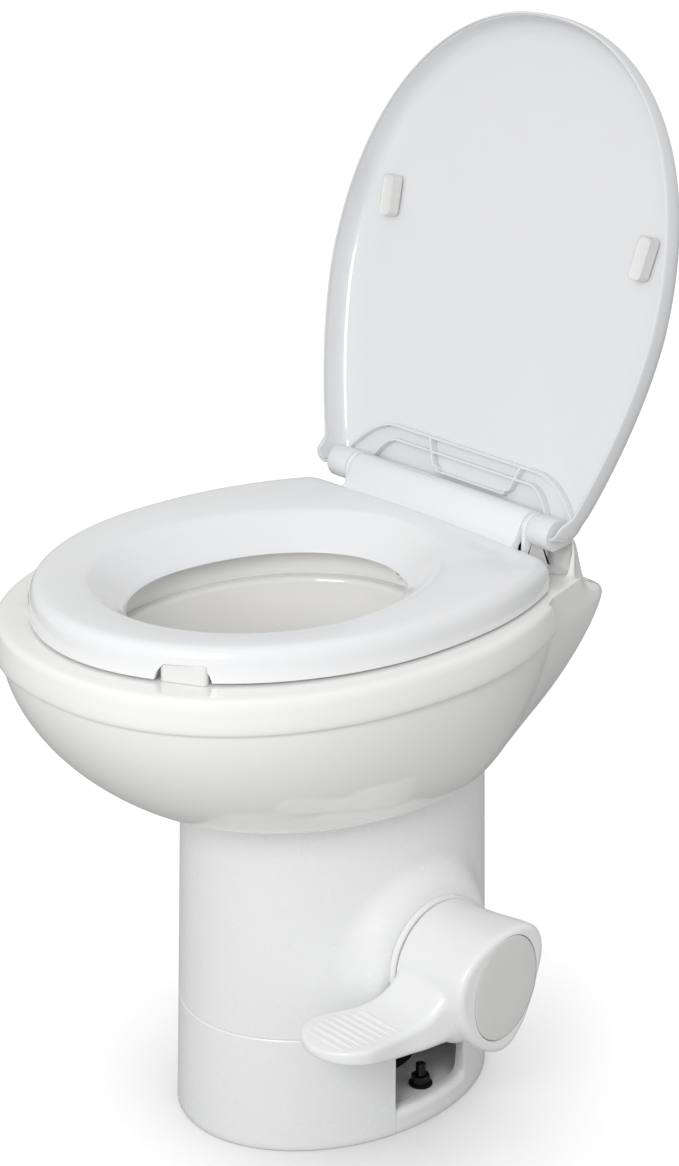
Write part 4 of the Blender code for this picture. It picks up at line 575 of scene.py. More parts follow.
def build_pedestal():
    """Outer and inner wall by angle and height, with rounded lips round the windows."""
    s = sizes()
    depth = s.foot_depth * (1 - 0.05 * s.window_low / s.neck_z) - (s.foot_depth - s.top_depth) * 0.18
    front = math.asin((s.window_front - WINDOW_LIP) / depth)
    rear = math.asin((s.window_rear + WINDOW_LIP) / depth)
    low, high = s.window_low - SILL, s.window_high + WINDOW_LIP
    marks = (front, rear, front + 0.011, math.asin(s.window_front / depth))
    right = stepped(-math.pi / 2, math.pi / 2, marks, 0.030, 0.006, 0.05)
    levels = stepped(0.0012, s.neck_z - GAP, (low, high, s.skirt_z), 0.0045, 0.0011, 0.007)
    levels = np.unique(np.concatenate((levels, s.skirt_z + np.linspace(-0.002, 0.002, 13))))
    turns = np.concatenate((right, math.pi - right[::-1][1:-1]))
    grid = bent_grid(turns, levels, (front, low), (rear, high), (WINDOW_CORNER / depth, WINDOW_CORNER))
    outer, inner = pedestal_wall(*grid, 0.0), pedestal_wall(*grid, s.wall)
    points = [outer.reshape(-1, 3), inner.reshape(-1, 3)]
    mid_level = (levels[:-1] + levels[1:]) / 2
    mid_turn = turns + (np.roll(turns, -1) - turns) % (2 * math.pi) / 2
    along = np.where(np.cos(mid_turn) >= 0, mid_turn, math.pi - mid_turn)
    is_open = ((low < mid_level) & (mid_level < high))[:, None] & (front < along) & (along < rear)
    count = outer[..., 0].size
    number = np.arange(count).reshape(len(levels), -1)
    beside = np.roll(number, -1, 1)
    cells = np.stack((number[:-1], beside[:-1], beside[1:], number[1:]), -1)[~is_open]
    faces = np.stack((cells, count + cells[:, ::-1]), 1).reshape(-1, 4).tolist()
    total = 2 * count
    for side, _ in SIDES:
        loop = window_loop(is_open, turns, side)
        wall_loop, on_grid = outer[loop], number[loop]
        target = window_edge(wall_loop)
        reach = np.abs(wall_loop - target).max(1)
        lip = []
        for k in range(1, LIP_STEPS + 1):
            turn = math.radians(90) * k / LIP_STEPS
            lip.append(target + (wall_loop - target) * (1 - math.sin(turn)))
            lip[-1][:, 0] -= side * reach * (1 - math.cos(turn))
        lip.append(lip[-1].copy())
        lip[-1][:, 0] = side * (np.minimum(np.abs(inner[loop][:, 0]), np.abs(lip[-1][:, 0])) - WINDOW_REVEAL)
        points += lip
        size = len(on_grid)
        loops = [on_grid, *(np.arange(size) + total + i * size for i in range(len(lip))), count + on_grid]
        for first, second in zip(loops, loops[1:]):
            bridge(faces, first, second)
        total += size * len(lip)
    close_pedestal(points, faces, total, turns, levels)
    return mesh_object("pedestal_shell", np.vstack(points), faces)


def window_loop(is_open, turns, side):
    """Rows and columns of the grid's corners round the open cells of one side, in order."""
    columns = len(turns)
    cells = [(i, j) for i, j in zip(*np.nonzero(is_open)) if math.cos(turns[j]) * side > 0]
    low, high = cells[0][0], cells[-1][0] + 1
    first = [j for i, j in cells if i == low]
    if max(first) - min(first) > columns / 2:
        first = [j if j > columns / 2 else j + columns for j in first]
    start, end = min(first), max(first) + 1
    loop = [(low, j) for j in range(start, end)]
    loop += [(i, end) for i in range(low, high)]
    loop += [(high, j) for j in range(end, start, -1)]
    loop += [(i, start) for i in range(high, low, -1)]
    rows, places = np.array(loop).T
    return rows, places % columns


def window_edge(loop):
    """The clear opening inside a window's rounded lip."""
    s = sizes()
    target = loop.copy()
    middle_y = (s.window_front + s.window_rear) / 2
    low, high = loop[:, 2].min(), loop[:, 2].max()
    front, rear = loop[:, 1].min(), loop[:, 1].max()
    across = loop[:, 1] - (front + rear) / 2
    target[:, 1] = middle_y + across * (s.window_rear - s.window_front) / (rear - front)
    target[:, 2] = s.window_low + (loop[:, 2] - low) * (s.window_high - s.window_low) / (high - low)
    return target


def close_pedestal(points, faces, total, turns, levels):
    """Top lip, rounded foot and base plate of the pedestal, from its outer to its inner wall."""
    s = sizes()
    columns, rows = len(turns), len(levels)
    across = np.arange(columns)

    def add(ring_points, previous):
        nonlocal total
        points.append(ring_points)
        current = total + across
        total += columns
        bridge(faces, previous, current)
        return current

    def wall_ring(level, inset, previous):
        return add(pedestal_wall(turns, np.full(columns, level), inset), previous)

    top = s.neck_z - GAP
    top_outer = (rows - 1) * columns + across
    last = top_outer
    for level, inset in ((top, 0.0008), (top, s.wall)):
        last = wall_ring(level, inset, last)
    bridge(faces, last, rows * columns + top_outer)
    last = across
    for level, inset in ((0.0005, 0.0004), (0.0, 0.0016), (0.0, 0.016), (BASE_LOW, 0.016)):
        last = wall_ring(level, inset, last)
    for level in (BASE_LOW, BASE_TOP):
        last = add(np.stack((FLANGE_HOLE_R * np.cos(turns), OUTLET_Y + FLANGE_HOLE_R * np.sin(turns),
                             np.full(columns, level)), 1), last)
    for level in (BASE_TOP, levels[0] + 0.0002):
        last = wall_ring(level, s.wall + 0.0002, last)
    bridge(faces, last, rows * columns + across)


# Bowl

BAND_END_Y = 0.081
BAND_CORNER = 0.009
BAND_BLEND = 0.0022
SIDE_RUN = 0.1408
BLOCK_WIDTH = 0.1478
BLOCK_REAR_Y = 0.1875
DECK_Y = 0.137
DECK_REAR_Z = 0.410
REAR_LEAN = 0.009
REAR_HUMP = 0.029
LEDGE_DROP = 0.0285
OUTLET_R = 0.038
OUTLET_TOP = 0.226
SPIGOT_LOW = 0.2030
BOWL_WALL = 0.006
# How far each step of the ledge lies inside the opening, and how far under its top
LEDGE_SECTION = ((0.0043, 0.0012), (0.0056, 0.0003), (0.0075, 0.0), (0.0105, 0.0004), (0.0126, 0.0016))
NOZZLE_PLACE = (-0.005, 0, 0.4135)
# Share of the band's height and of its step
BAND_SECTION = ((0.0, -0.1), (0.0, 0.55), (0.03, 0.85), (0.10, 0.97), (0.22, 1.0), (0.40, 0.95), (0.60, 0.82),
                (0.78, 0.66), (0.88, 0.50), (0.95, 0.22), (0.985, -0.15), (1.0, -0.7))


def belly(share, power):
    """Reach and height shares of the swelling underside, from 0 at its foot to 1 at its edge."""
    angle = math.radians(90) * share
    return math.sin(angle) ** (2 / power), 1 - math.cos(angle) ** (2 / power)


def band_shape(share, proud, angles, end_angle, outer):
    """How far the band stands out at a height share, rounded off at its rear end."""
    s = sizes()
    before_end = (end_angle - angles) * outer
    below_top = (1 - share) * (s.rim_z - s.band_low_z)
    in_x, in_z = BAND_CORNER - before_end, BAND_CORNER - below_top
    rounded = BAND_CORNER - np.hypot(np.maximum(in_x, 0), np.maximum(in_z, 0))
    inside = np.where((in_x > 0) & (in_z > 0), rounded, np.minimum(before_end, 1.0))
    return proud * smoothstep(0.5 + inside / BAND_BLEND)


def build_bowl():
    """One closed skin: opening, ledge, basin, spigot, inner wall, belly, band and top deck."""
    s = sizes()
    body = tub(s.band_width, s.band_front, s.widest_y, 2.2, (SIDE_RUN, BLOCK_WIDTH, 2.076), 0.118,
               BLOCK_REAR_Y, 0.022)
    end_angle = math.atan2(BLOCK_WIDTH, -BAND_END_Y)
    angles = spread(body, 0, 150, ((end_angle, 0.020, 17),))
    outer = radii(body, 0, angles)
    under_band = outer - s.band_proud
    neck = radii(oval(s.top_width, -s.top_depth, s.top_depth, 0), 0, angles)
    opening = radii(oval(0.112, -0.222, 0.078, -0.062), 0, angles)
    outlet = OUTLET_Y * -np.cos(angles) + np.sqrt(OUTLET_R ** 2 - (OUTLET_Y * np.sin(angles)) ** 2)
    back = smoothstep((angles - math.radians(95)) / math.radians(50))
    rearward = np.clip((-outer * np.cos(angles) - DECK_Y) / (BLOCK_REAR_Y - DECK_Y), 0, 1)
    rise = smoothstep(rearward / 0.45)
    deck = s.rim_z - (s.rim_z - DECK_REAR_Z) * rearward
    to_deck = DECK_Y / np.maximum(-np.cos(angles), 0.01)
    flat = np.where(np.cos(angles) < -0.5, np.minimum(outer - 0.02, to_deck), outer - 0.02)
    ledge_z = s.rim_z - LEDGE_DROP
    basin_edge, basin_z = opening - 0.014, ledge_z - 0.004
    flange, spigot = outlet + 0.024, outlet + 0.007
    rows = []

    def add(*sections):
        for radius, height in sections:
            rows.append(ring(radius, height, angles))

    add((opening + 0.0035, s.rim_z), (opening + 0.0012, s.rim_z - 0.0009), (opening, s.rim_z - 0.003))
    for share in np.linspace(0.15, 0.9, 8):
        add((opening - 0.004 * share, s.rim_z - LEDGE_DROP * share))
    for inward, drop in LEDGE_SECTION:
        add((opening - inward, ledge_z - drop))
    add((basin_edge, basin_z))
    for share in np.linspace(0.97, 0.03, 26):
        across, up = belly(share, 1.3)
        add((outlet + (basin_edge - outlet) * across, OUTLET_TOP + (basin_z - OUTLET_TOP) * up))
    add((outlet, OUTLET_TOP), (outlet, SPIGOT_LOW), (flange, SPIGOT_LOW), (flange, SPIGOT_LOW + 0.010),
        (spigot, SPIGOT_LOW + 0.010))
    for share in np.linspace(0.1, 1, 8):
        across, up = belly(share, 1.3)
        add((spigot + (basin_edge - outlet) * across, OUTLET_TOP - BOWL_WALL + (basin_z - OUTLET_TOP) * up))
    add((opening + BOWL_WALL, ledge_z - BOWL_WALL), (opening + BOWL_WALL, s.rim_z - BOWL_WALL),
        (flat - BOWL_WALL, s.rim_z - BOWL_WALL), (under_band - BOWL_WALL, deck - BOWL_WALL),
        (under_band - 0.005, s.band_low_z + 0.005))
    under = []
    for share in np.linspace(0, 1, 34):
        pairs = np.array([belly(share, 1.65 + (1.3 - 1.65) * b) for b in back])
        under.append((neck + (under_band - neck) * pairs[:, 0],
                      s.neck_z + 0.0032 + (s.band_low_z - s.neck_z - 0.0032) * pairs[:, 1]))
    for radius, height in under[28:3:-6]:
        add((radius - 0.005, height + 0.0025))
    add((neck - 0.005, s.neck_z + 0.004), (neck - 0.005, s.neck_z), (neck - 0.0007, s.neck_z),
        (neck, s.neck_z + 0.0005), (neck, s.neck_z + 0.0022), *under[1:])
    section = smooth_curve(BAND_SECTION, 40)
    lean = REAR_LEAN * rise
    for share, proud in section[1:]:
        stands = band_shape(share, s.band_proud, angles, end_angle, outer)
        softened = np.where(angles > end_angle, np.minimum(proud, 1), proud)
        step = np.where(softened > 0, softened * stands, softened * s.band_proud)
        add((under_band + step - lean * share ** 3, s.band_low_z + (deck - s.band_low_z) * share))
    edge = under_band + section[-1][1] * s.band_proud - lean
    span = np.maximum(edge - flat, 0.004)
    for share in np.linspace(0.06, 0.94, 18):
        swell = smoothstep(share / 0.38) * (1 - smoothstep((share - 0.72) / 0.28))
        add((edge - span * share, deck + (s.rim_z - deck) * share + REAR_HUMP * rise * swell))
    add((flat, s.rim_z))
    bowl = skin("bowl_shell", rows, closed=True)
    hole = [(0, 0.064), (0.0065, 0.064), (0.0065, 0.09), (0, 0.09)]
    cut(bowl, turned("nozzle_hole", hole, NOZZLE_PLACE, "Y"), solver="EXACT")
    return baked(bowl)


# Seat

# Share of the way from the opening to the outer edge, share of the roll inwards, share of the height
SEAT_SECTION = ((0, 1.0, -0.26), (0, 0.955, -0.175), (0, 0.82, -0.03), (0, 0.60, 0.21), (0, 0.36, 0.455),
                (0, 0.14, 0.665), (0, 0.03, 0.755), (0.015, 0, 0.805), (0.06, 0, 0.85), (0.14, 0, 0.89),
                (0.27, 0, 0.93), (0.42, 0, 0.965), (0.58, 0, 0.99), (0.72, 0, 1.0), (0.83, 0, 0.985),
                (0.905, 0, 0.92), (0.957, 0, 0.79), (0.99, 0, 0.58), (1.0, 0, 0.34), (0.998, 0, -0.05))
SEAT_CENTRE_Y = -0.07
SEAT_EDGE_LOW = 0.0012
RAMP_END = 0.0938
NOTCH_WIDTH = 0.0200
NOTCH_HEIGHT = 0.0122
BUMPER_X, BUMPER_Y = 0.0850, -0.2172


def seat_outline():
    s = sizes()
    return tub(s.seat_width, 0.2041, s.widest_y, 2.0, (SIDE_RUN, 0.1352, 2.343), 0.1292, 0.0985, 0.006)


def build_seat():
    s = sizes()
    outline = seat_outline()
    corner = math.atan2(0.133, -(0.095 - SEAT_CENTRE_Y))
    notch = math.atan2(0.085, 0.217 + SEAT_CENTRE_Y)
    angles = spread(outline, SEAT_CENTRE_Y, 150, ((notch, 0.14, 61), (corner, 0.05, 15)))
    outer = radii(outline, SEAT_CENTRE_Y, angles)
    inner = radii(oval(0.1165, -0.2050, 0.0735, -0.080), SEAT_CENTRE_Y, angles)
    along = (angles - notch) * np.interp(notch, angles, outer)
    arch = np.clip(1 - np.abs(along) / NOTCH_WIDTH, 0, 1)
    lift = NOTCH_HEIGHT * np.clip(arch * 3, 0, 1) ** 0.5
    edge = s.seat_low_z - SEAT_EDGE_LOW + lift
    rows = []

    def add(radius, height):
        rows.append(ring(radius, height, angles, SEAT_CENTRE_Y))

    for a, b, up in smooth_curve(SEAT_SECTION, 84):
        height = s.seat_low_z + s.seat_height * up
        add(inner + (outer - inner) * a - s.seat_roll * b, np.maximum(height, edge) if a > 0.9 else height)
    add(outer - 0.0012, edge)
    add(outer - 0.0036, edge)
    for share, up in ((0.90, 0.62), (0.86, 0.66), (0.30, 0.60), (0.06, 0.48)):
        add(inner + (outer - inner) * share, s.seat_low_z + s.seat_height * up)
    add(inner - s.seat_roll + 0.0035, s.seat_low_z + s.seat_height * SEAT_SECTION[0][2])
    return joined("seat_ring", [skin("seat_ring", rows, closed=True), seat_ramp()])


def seat_ramp():
    """Ramp from the seat's top to the barrel of its hinge."""
    s = sizes()
    top = s.seat_low_z + s.seat_height
    y, z, r = s.hinge_y, HINGE.z, s.barrel_r
    lean = [(0.0915, top - 0.0022), (0.0940, top + 0.0002), (0.0966, top + 0.0022), (0.0988, top + 0.0064),
            (0.1008, top + 0.0110), (0.1027, top + 0.0148)]
    low = [(0.1005, z - r), (0.0985, s.seat_low_z + 0.006), (0.0915, s.seat_low_z + 0.006)]
    outline = np.array(smooth_curve(lean, 16).tolist() + arc(y, z, r, range(140, -91, -6)) + low)
    outward = outline - outline.mean(0)
    outward /= np.linalg.norm(outward, axis=1)[:, None]
    ends = [(RAMP_END, 0.0016), (RAMP_END - 0.0003, 0.0007), (RAMP_END - 0.0016, 0)]
    places = ends + [(-x, shrink) for x, shrink in ends[::-1]]
    return solid("seat_ramp", [[(x, *p) for p in outline - outward * shrink] for x, shrink in places])


# Lid, modelled closed about its hinge line with its outside up

# Share of the slope inwards and of the height from lip to shoulder
LID_EDGE = ((0.045, -0.01), (0.02, -0.012), (0.008, 0.02), (0.0, 0.10), (-0.003, 0.22), (0.0, 0.36),
            (0.012, 0.48), (0.04, 0.60), (0.09, 0.72), (0.18, 0.83), (0.32, 0.91), (0.52, 0.962),
            (0.76, 0.99), (1.0, 1.0))
LID_CENTRE = 0.190
LID_SHOULDER = 0.0203
LID_SLOPE = 0.038
LID_LIP = 0.005
LID_WIDEST = 0.1648
LID_CORNER_LIP = 0.009
LID_HOOK_R = 0.0125
RIB_EDGE = 0.0007
ARCH_STEPS = 64


def lid_outline():
    s = sizes()
    return tub(s.lid_width, s.lid_length - LID_WIDEST, -LID_WIDEST, 2.15, (0.1548, 0.1352, 1.66), 0.1319,
               0.004, 0.010)


def open_lid(obj):
    """Swing a shape made on the closed lid to the open lid's place."""
    s = sizes()
    obj.data.transform(Matrix.Translation((0, s.hinge_y, HINGE.z)) @ Matrix.Rotation(-LID_OPEN, 4, "X"))
    return obj


def build_lid():
    s = sizes()
    outline = lid_outline()
    wall_angle = math.atan2(0.1225, -(LID_CENTRE + 0.004))
    corner_angle = math.atan2(0.130, -(LID_CENTRE - 0.001))
    angles = spread(outline, -LID_CENTRE, 130, ((wall_angle, 0.03, 15), (corner_angle, 0.04, 13)))
    edge = radii(outline, -LID_CENTRE, angles)
    wall = 0.22 + 0.78 * smoothstep((wall_angle - angles) * LID_CENTRE / 0.006 + 0.5)
    lip = LID_LIP + LID_CORNER_LIP * smoothstep((-LID_CENTRE - edge * np.cos(angles) + 0.018) / 0.014)
    rows = []
    for inset, up in smooth_curve(LID_EDGE, 60):
        height = LID_SHOULDER - (LID_SHOULDER + lip) * (1 - up) * wall
        rows.append(ring(edge - LID_SLOPE * inset, height, angles, -LID_CENTRE))
    shoulder = edge - LID_SLOPE
    for share in np.linspace(0.96, 0.04, 24):
        height = s.lid_crown - (s.lid_crown - LID_SHOULDER) * share ** 2.2
        rows.append(ring(shoulder * share, height, angles, -LID_CENTRE))
    lid = skin("lid_shell", rows, caps=(False, True))
    if sum(p.normal.z * p.area for p in lid.data.polygons) < 0:
        lid.data.flip_normals()
    modifier(lid, "SOLIDIFY", thickness=s.lid_skin, offset=-1, use_even_offset=True)
    notch = [(-0.0145, -LID_LIP * 2), (0.010, -LID_LIP * 2), (0.010, 0.0145), (-0.0145, 0.0145)]
    hook = arc(0, 0, LID_HOOK_R, range(150, 361, 6))
    hook += [(0.004, LID_SHOULDER - 0.0015), (-LID_HOOK_R / 2, LID_SHOULDER - 0.0015)]
    barrels = []
    for side, name in SIDES:
        places = sorted((side * 0.0857, side * 0.1000))
        cut(lid, solid("lid_notch_" + name, [[(x, *p) for p in notch] for x in places]))
        low, high = sorted((side * 0.1002, side * 0.1215))
        barrels.append(rounded_prism("lid_barrel_" + name, hook, low, high, 0.0008))
    return open_lid(joined("lid_shell", [baked(lid), *barrels]))


def rounded_prism(name, outline, low, high, edge):
    """Straight solid along X with its two ends' edges rounded."""
    outline = np.array(outline)
    centre = outline.mean(0)
    inward = (centre - outline) / np.linalg.norm(centre - outline, axis=1)[:, None]
    ends = [(0, edge), (edge * 0.3, edge * 0.3), (edge, 0)]
    rings = [[(low + x, *p) for p in outline + inward * shrink] for x, shrink in ends]
    rings += [[(high - x, *p) for p in outline + inward * shrink] for x, shrink in ends[::-1]]
    return solid(name, rings)


def arch(half_width, low, high, flat):
    """Path of an arched rib: flat in the middle, falling to both sides."""
    path = []
    for i in range(ARCH_STEPS + 1):
        x = half_width * (2 * i / ARCH_STEPS - 1)
        beyond = max(abs(x) - flat, 0) / (half_width - flat)
        path.append((x, -(high - (high - low) * beyond ** 2)))
    return path


def rib_paths():
    """Paths of the lid's ribs: two arches and the frame between them."""
    low_y, corner = -0.0190, 0.005

    def bend(start_x, side, turns):
        return [(start_x + side * corner * math.sin(a), low_y + corner * (1 - math.cos(a))) for a in turns]

    frame_path = [(-0.038, -0.0385), (-0.0295, -0.0195), *bend(-0.0290, 1, np.linspace(0, 1.4, 6)),
                  *bend(0.0535, -1, np.linspace(1.4, 0, 6)), (0.0540, -0.0195), (0.0605, -0.0385)]
    return [arch(0.122, 0.012, 0.039, 0.078), arch(0.099, 0.004, 0.0285, 0.073), frame_path]


def growth_tree(name, lengths):
    """Start a Geometry Nodes tree on a shape, named lengths and a finish.

    Gives the tree, its inner inputs and the identifier of each input.
    """
    tree = bpy.data.node_groups.new(name, "GeometryNodeTree")
    kinds = {"Geometry": "NodeSocketGeometry", **dict.fromkeys(lengths, "NodeSocketFloat"),
             "Finish": "NodeSocketMaterial"}
    identifiers = {label: tree.interface.new_socket(label, in_out="INPUT", socket_type=kind).identifier
                   for label, kind in kinds.items()}
    tree.interface.new_socket("Geometry", in_out="OUTPUT", socket_type="NodeSocketGeometry")
    return tree, tree.nodes.new("NodeGroupInput").outputs, identifiers


def end_tree(tree, geometry, given):
    """End a tree in Realize Instances and Set Material."""
    real = add_node(tree, "GeometryNodeRealizeInstances", {0: geometry})
    painted = add_node(tree, "GeometryNodeSetMaterial",
                       {"Geometry": real.outputs[0], "Material": given["Finish"]})
    add_node(tree, "NodeGroupOutput", {"Geometry": painted.outputs["Geometry"]})


def place_on_points(tree, given, shape, inputs):
    """End a tree that puts a shape on each point of its geometry."""
    place = add_node(tree, "GeometryNodeInstanceOnPoints",
                     {"Points": given["Geometry"], "Instance": shape.outputs["Mesh"], **inputs})
    end_tree(tree, place.outputs["Instances"], given)


def grown(name, mesh, tree, identifiers, values):
    """Run a tree on a mesh with values for its inputs, and keep the plain mesh."""
    obj = bpy.data.objects.new(name, mesh)
    bpy.context.scene.collection.objects.link(obj)
    nodes = obj.modifiers.new("Nodes", "NODES")
    nodes.node_group = tree
    for label, value in values.items():
        nodes[identifiers[label]] = value
    return baked(obj)


def plain_mesh(name, points, edges=()):
    """A mesh of points and edges for a tree to grow on."""
    mesh = bpy.data.meshes.new(name)
    mesh.from_pydata(points, edges, [])
    return mesh


def rib_tree():
    """Geometry Nodes: a wall of given thickness and height along each path."""
    tree, given, identifiers = growth_tree("lid_ribs", ("Thickness", "Height"))
    curve = add_node(tree, "GeometryNodeMeshToCurve", {"Mesh": given["Geometry"]})
    upright = add_node(tree, "GeometryNodeSetCurveNormal", {"Curve": curve.outputs["Curve"]}, mode="Z_UP")
    profile = add_node(tree, "GeometryNodeCurvePrimitiveQuadrilateral",
                       {"Width": given["Thickness"], "Height": given["Height"]})
    rounded = add_node(tree, "GeometryNodeFilletCurve",
                       {"Curve": profile.outputs["Curve"], "Radius": RIB_EDGE, "Count": 3}, mode="POLY")
    sweep = add_node(tree, "GeometryNodeCurveToMesh",
                     {"Curve": upright.outputs["Curve"], "Profile Curve": rounded.outputs["Curve"],
                      "Fill Caps": True})
    end_tree(tree, sweep.outputs["Mesh"], given)
    return tree, identifiers


def build_lid_ribs():
    s = sizes()
    points, edges = [], []
    floor_z = LID_SHOULDER - s.lid_skin + 0.0015
    for path in rib_paths():
        start = len(points)
        points += [(x, y, floor_z - s.rib_height / 2) for x, y in path]
        edges += [(start + i, start + i + 1) for i in range(len(path) - 1)]
    ribs = grown("lid_ribs", plain_mesh("lid_ribs", points, edges), *rib_tree(),
                 {"Thickness": s.rib_width, "Height": s.rib_height, "Finish": finish("lid")})
    return open_lid(ribs)


# Pedal

CAP_TILT = math.radians(11.8)
CAP_SHIFT = 0.001
CAP_CLEARANCE = 0.0007
CAP_HALF_WIDTH = 0.0319
CAP_HALF_HEIGHT = 0.0422
FACE_ROUND = 0.0048
HUB_POINTS = 96
HUB_HOLLOW_R = 0.0445
HUB_HOLLOW_END = 0.172
VOXEL = 0.0011
TREAD_START, TREAD_END = -0.0804, -0.1268
RIDGE_MARGIN = 0.0058
# Share of the hub's length, and of the change from its round foot to the outline of its face
HUB_CHANGE = ((0.0, 0.0), (0.28, 0.0), (0.48, 0.25), (0.68, 0.65), (0.84, 0.92), (0.93, 1.0))
# Angle from the rear, in degrees, and radius share of the outline round the hub's face
FACE_SHARES = ((0, 0.82), (28, 1.045), (37, 1.125), (51, 1.165), (63, 1.10), (79, 1.01), (101, 0.955),
               (121, 0.945), (141, 0.965), (165, 0.955), (191, 0.885), (221, 0.90), (244, 0.98),
               (264, 1.09), (280, 1.13), (297, 0.975), (326, 0.82), (360, 0.82))
# Share of the arm's length, its inner and outer side in shares of the hub's length, and its top and
# bottom in shares of the hub's radius
ARM_SHARES = ((0.10, 0.02, 0.82, 0.60, -0.97), (0.22, 0.015, 0.82, 0.55, -0.90),
              (0.275, 0.005, 0.815, 0.43, -0.82), (0.317, -0.005, 0.805, 0.25, -0.79),
              (0.36, -0.02, 0.785, 0.06, -0.775), (0.40, -0.04, 0.765, -0.085, -0.77),
              (0.45, -0.065, 0.74, -0.20, -0.77), (0.52, -0.11, 0.70, -0.285, -0.765),
              (0.60, -0.175, 0.675, -0.33, -0.755), (0.725, -0.28, 0.67, -0.344, -0.69),
              (0.81, -0.303, 0.665, -0.346, -0.635), (0.866, -0.280, 0.62, -0.352, -0.61),
              (0.915, -0.215, 0.545, -0.362, -0.595), (0.958, -0.12, 0.43, -0.378, -0.58),
              (0.986, -0.005, 0.30, -0.40, -0.56), (1.0, 0.12, 0.17, -0.44, -0.52))
ARM_TABLE = smooth_curve(ARM_SHARES, 90)


def around(count):
    """Angles of a full turn."""
    return np.linspace(0, 2 * math.pi, count, endpoint=False)


def cap_ring(x, width, height):
    """Oval ring about the middle of the cap, its top leaning to the rear."""
    s = sizes()
    turn = around(HUB_POINTS)
    y = np.cos(turn) * width * math.cos(CAP_TILT) + np.sin(turn) * height * math.sin(CAP_TILT)
    z = -np.cos(turn) * width * math.sin(CAP_TILT) + np.sin(turn) * height * math.cos(CAP_TILT)
    return np.stack((np.full(HUB_POINTS, x), s.pedal_y + CAP_SHIFT + y, s.pedal_z + CAP_SHIFT + z), 1)


def cap_hole(name, grow, low, high):
    """Cutter over the cap's outline, grown by a length."""
    return solid(name, [cap_ring(x, CAP_HALF_WIDTH + grow, CAP_HALF_HEIGHT + grow) for x in (low, high)])


def face_outline(grow):
    """Outline (y, z) of the hub's face about its middle, grown by a length."""
    turn = around(HUB_POINTS)
    shares = np.array(FACE_SHARES).T
    fine = np.interp((np.degrees(turn)[:, None] + np.linspace(-9, 9, 7)) % 360, *shares).mean(1)
    radius = sizes().hub_r * fine + grow
    return np.stack((radius * np.cos(turn), radius * np.sin(turn)), 1)


def hub_section(x, change, inset=0.0):
    """Section of the hub between the round foot and the outline of its face."""
    s = sizes()
    face = face_outline(-inset)
    turn = around(HUB_POINTS)
    foot = (s.hub_r - inset) * np.stack((np.cos(turn), np.sin(turn)), 1) + (s.pedal_y, 0)
    outline = foot + (face - foot) * change
    return np.stack((np.full(len(outline), x), outline[:, 0], s.pedal_z + outline[:, 1]), 1)


def hub_rings(inset, last_share):
    s = sizes()
    rings = []
    for share in np.linspace(0, last_share, 20):
        change = float(np.interp(share, *np.array(HUB_CHANGE).T))
        rings.append(hub_section(s.hub_start + (s.hub_end - s.hub_start) * share, change, inset))
    return rings


def arm_section(share):
    """Inner and outer side, top and bottom of the arm at a share of its length."""
    s = sizes()
    inner, outer, top, low = (float(np.interp(share, ARM_TABLE[:, 0], ARM_TABLE[:, i])) for i in range(1, 5))
    reach = s.hub_end - s.hub_start
    return (s.hub_start + reach * inner, s.hub_start + reach * outer,
            s.pedal_z + s.hub_r * top, s.pedal_z + s.hub_r * low)


def arm_ring(share):
    """Rounded section of the arm."""
    s = sizes()
    inner, outer, top, low = arm_section(share)
    half_x, half_z = (outer - inner) / 2, (top - low) / 2
    points = rounded_bar(half_x, half_z, 0, min(half_x, half_z) * 0.48, 7)
    y = s.pedal_y - s.arm_length * share
    return [((inner + outer) / 2 + x, y, (top + low) / 2 + z) for x, z, _ in points]


def build_pedal():
    s = sizes()
    rings = hub_rings(0.0, 0.93)
    for turn in np.linspace(0, math.radians(90), 7):
        rings.append(hub_section(s.hub_end - FACE_ROUND * (1 - math.sin(turn)), 1,
                                 FACE_ROUND * (1 - math.cos(turn))))
    arm = solid("pedal_arm", [arm_ring(share) for share in ARM_TABLE[:, 0]])
    pedal = joined("pedal_body", [solid("pedal_hub", rings), arm])
    modifier(pedal, "REMESH", mode="VOXEL", voxel_size=VOXEL)
    modifier(pedal, "SMOOTH", factor=0.5, iterations=8)
    hollow = hub_rings(s.hub_r - HUB_HOLLOW_R, 0.70)
    hollow.append(hollow[-1].copy())
    hollow[0][:, 0] = s.hub_start - 0.01
    hollow[-1][:, 0] = HUB_HOLLOW_END
    cut(pedal, solid("hub_hollow", hollow))
    cut(pedal, cap_hole("cap_recess", CAP_CLEARANCE, s.hub_end - 0.0038, s.hub_end + 0.004))
    cut(pedal, cap_hole("cap_access", -0.004, 0.168, s.hub_end))
    return baked(pedal)


def build_cap():
    s = sizes()
    edge = ((0.0035, 0.0), (0.0010, 0.0), (0.0004, 0.0002), (0.0001, 0.0006), (0.0, 0.0014))
    rings = [cap_ring(s.hub_end - back, CAP_HALF_WIDTH - inset, CAP_HALF_HEIGHT - inset)
             for back, inset in edge]
    rings.append(cap_ring(s.hub_end, CAP_HALF_WIDTH / 2, CAP_HALF_HEIGHT / 2))
    return solid("pedal_cap_face", rings)


def ridge_tree():
    """Geometry Nodes: a rounded bar on each point, as long as the point says."""
    tree, given, identifiers = growth_tree("tread_ridges", ("Ridge Width", "Ridge Height"))
    bar = add_node(tree, "GeometryNodeMeshUVSphere", {"Segments": 16, "Rings": 9, "Radius": 1.0})
    reach = add_node(tree, "GeometryNodeInputNamedAttribute", {"Name": "reach"}, data_type="FLOAT")
    half = add_node(tree, "ShaderNodeMath", {0: given["Ridge Width"], 1: 0.5}, operation="MULTIPLY")
    scale = add_node(tree, "ShaderNodeCombineXYZ",
                     {"X": reach.outputs["Attribute"], "Y": half.outputs["Value"],
                      "Z": given["Ridge Height"]})
    place_on_points(tree, given, bar, {"Scale": scale.outputs["Vector"]})
    return tree, identifiers


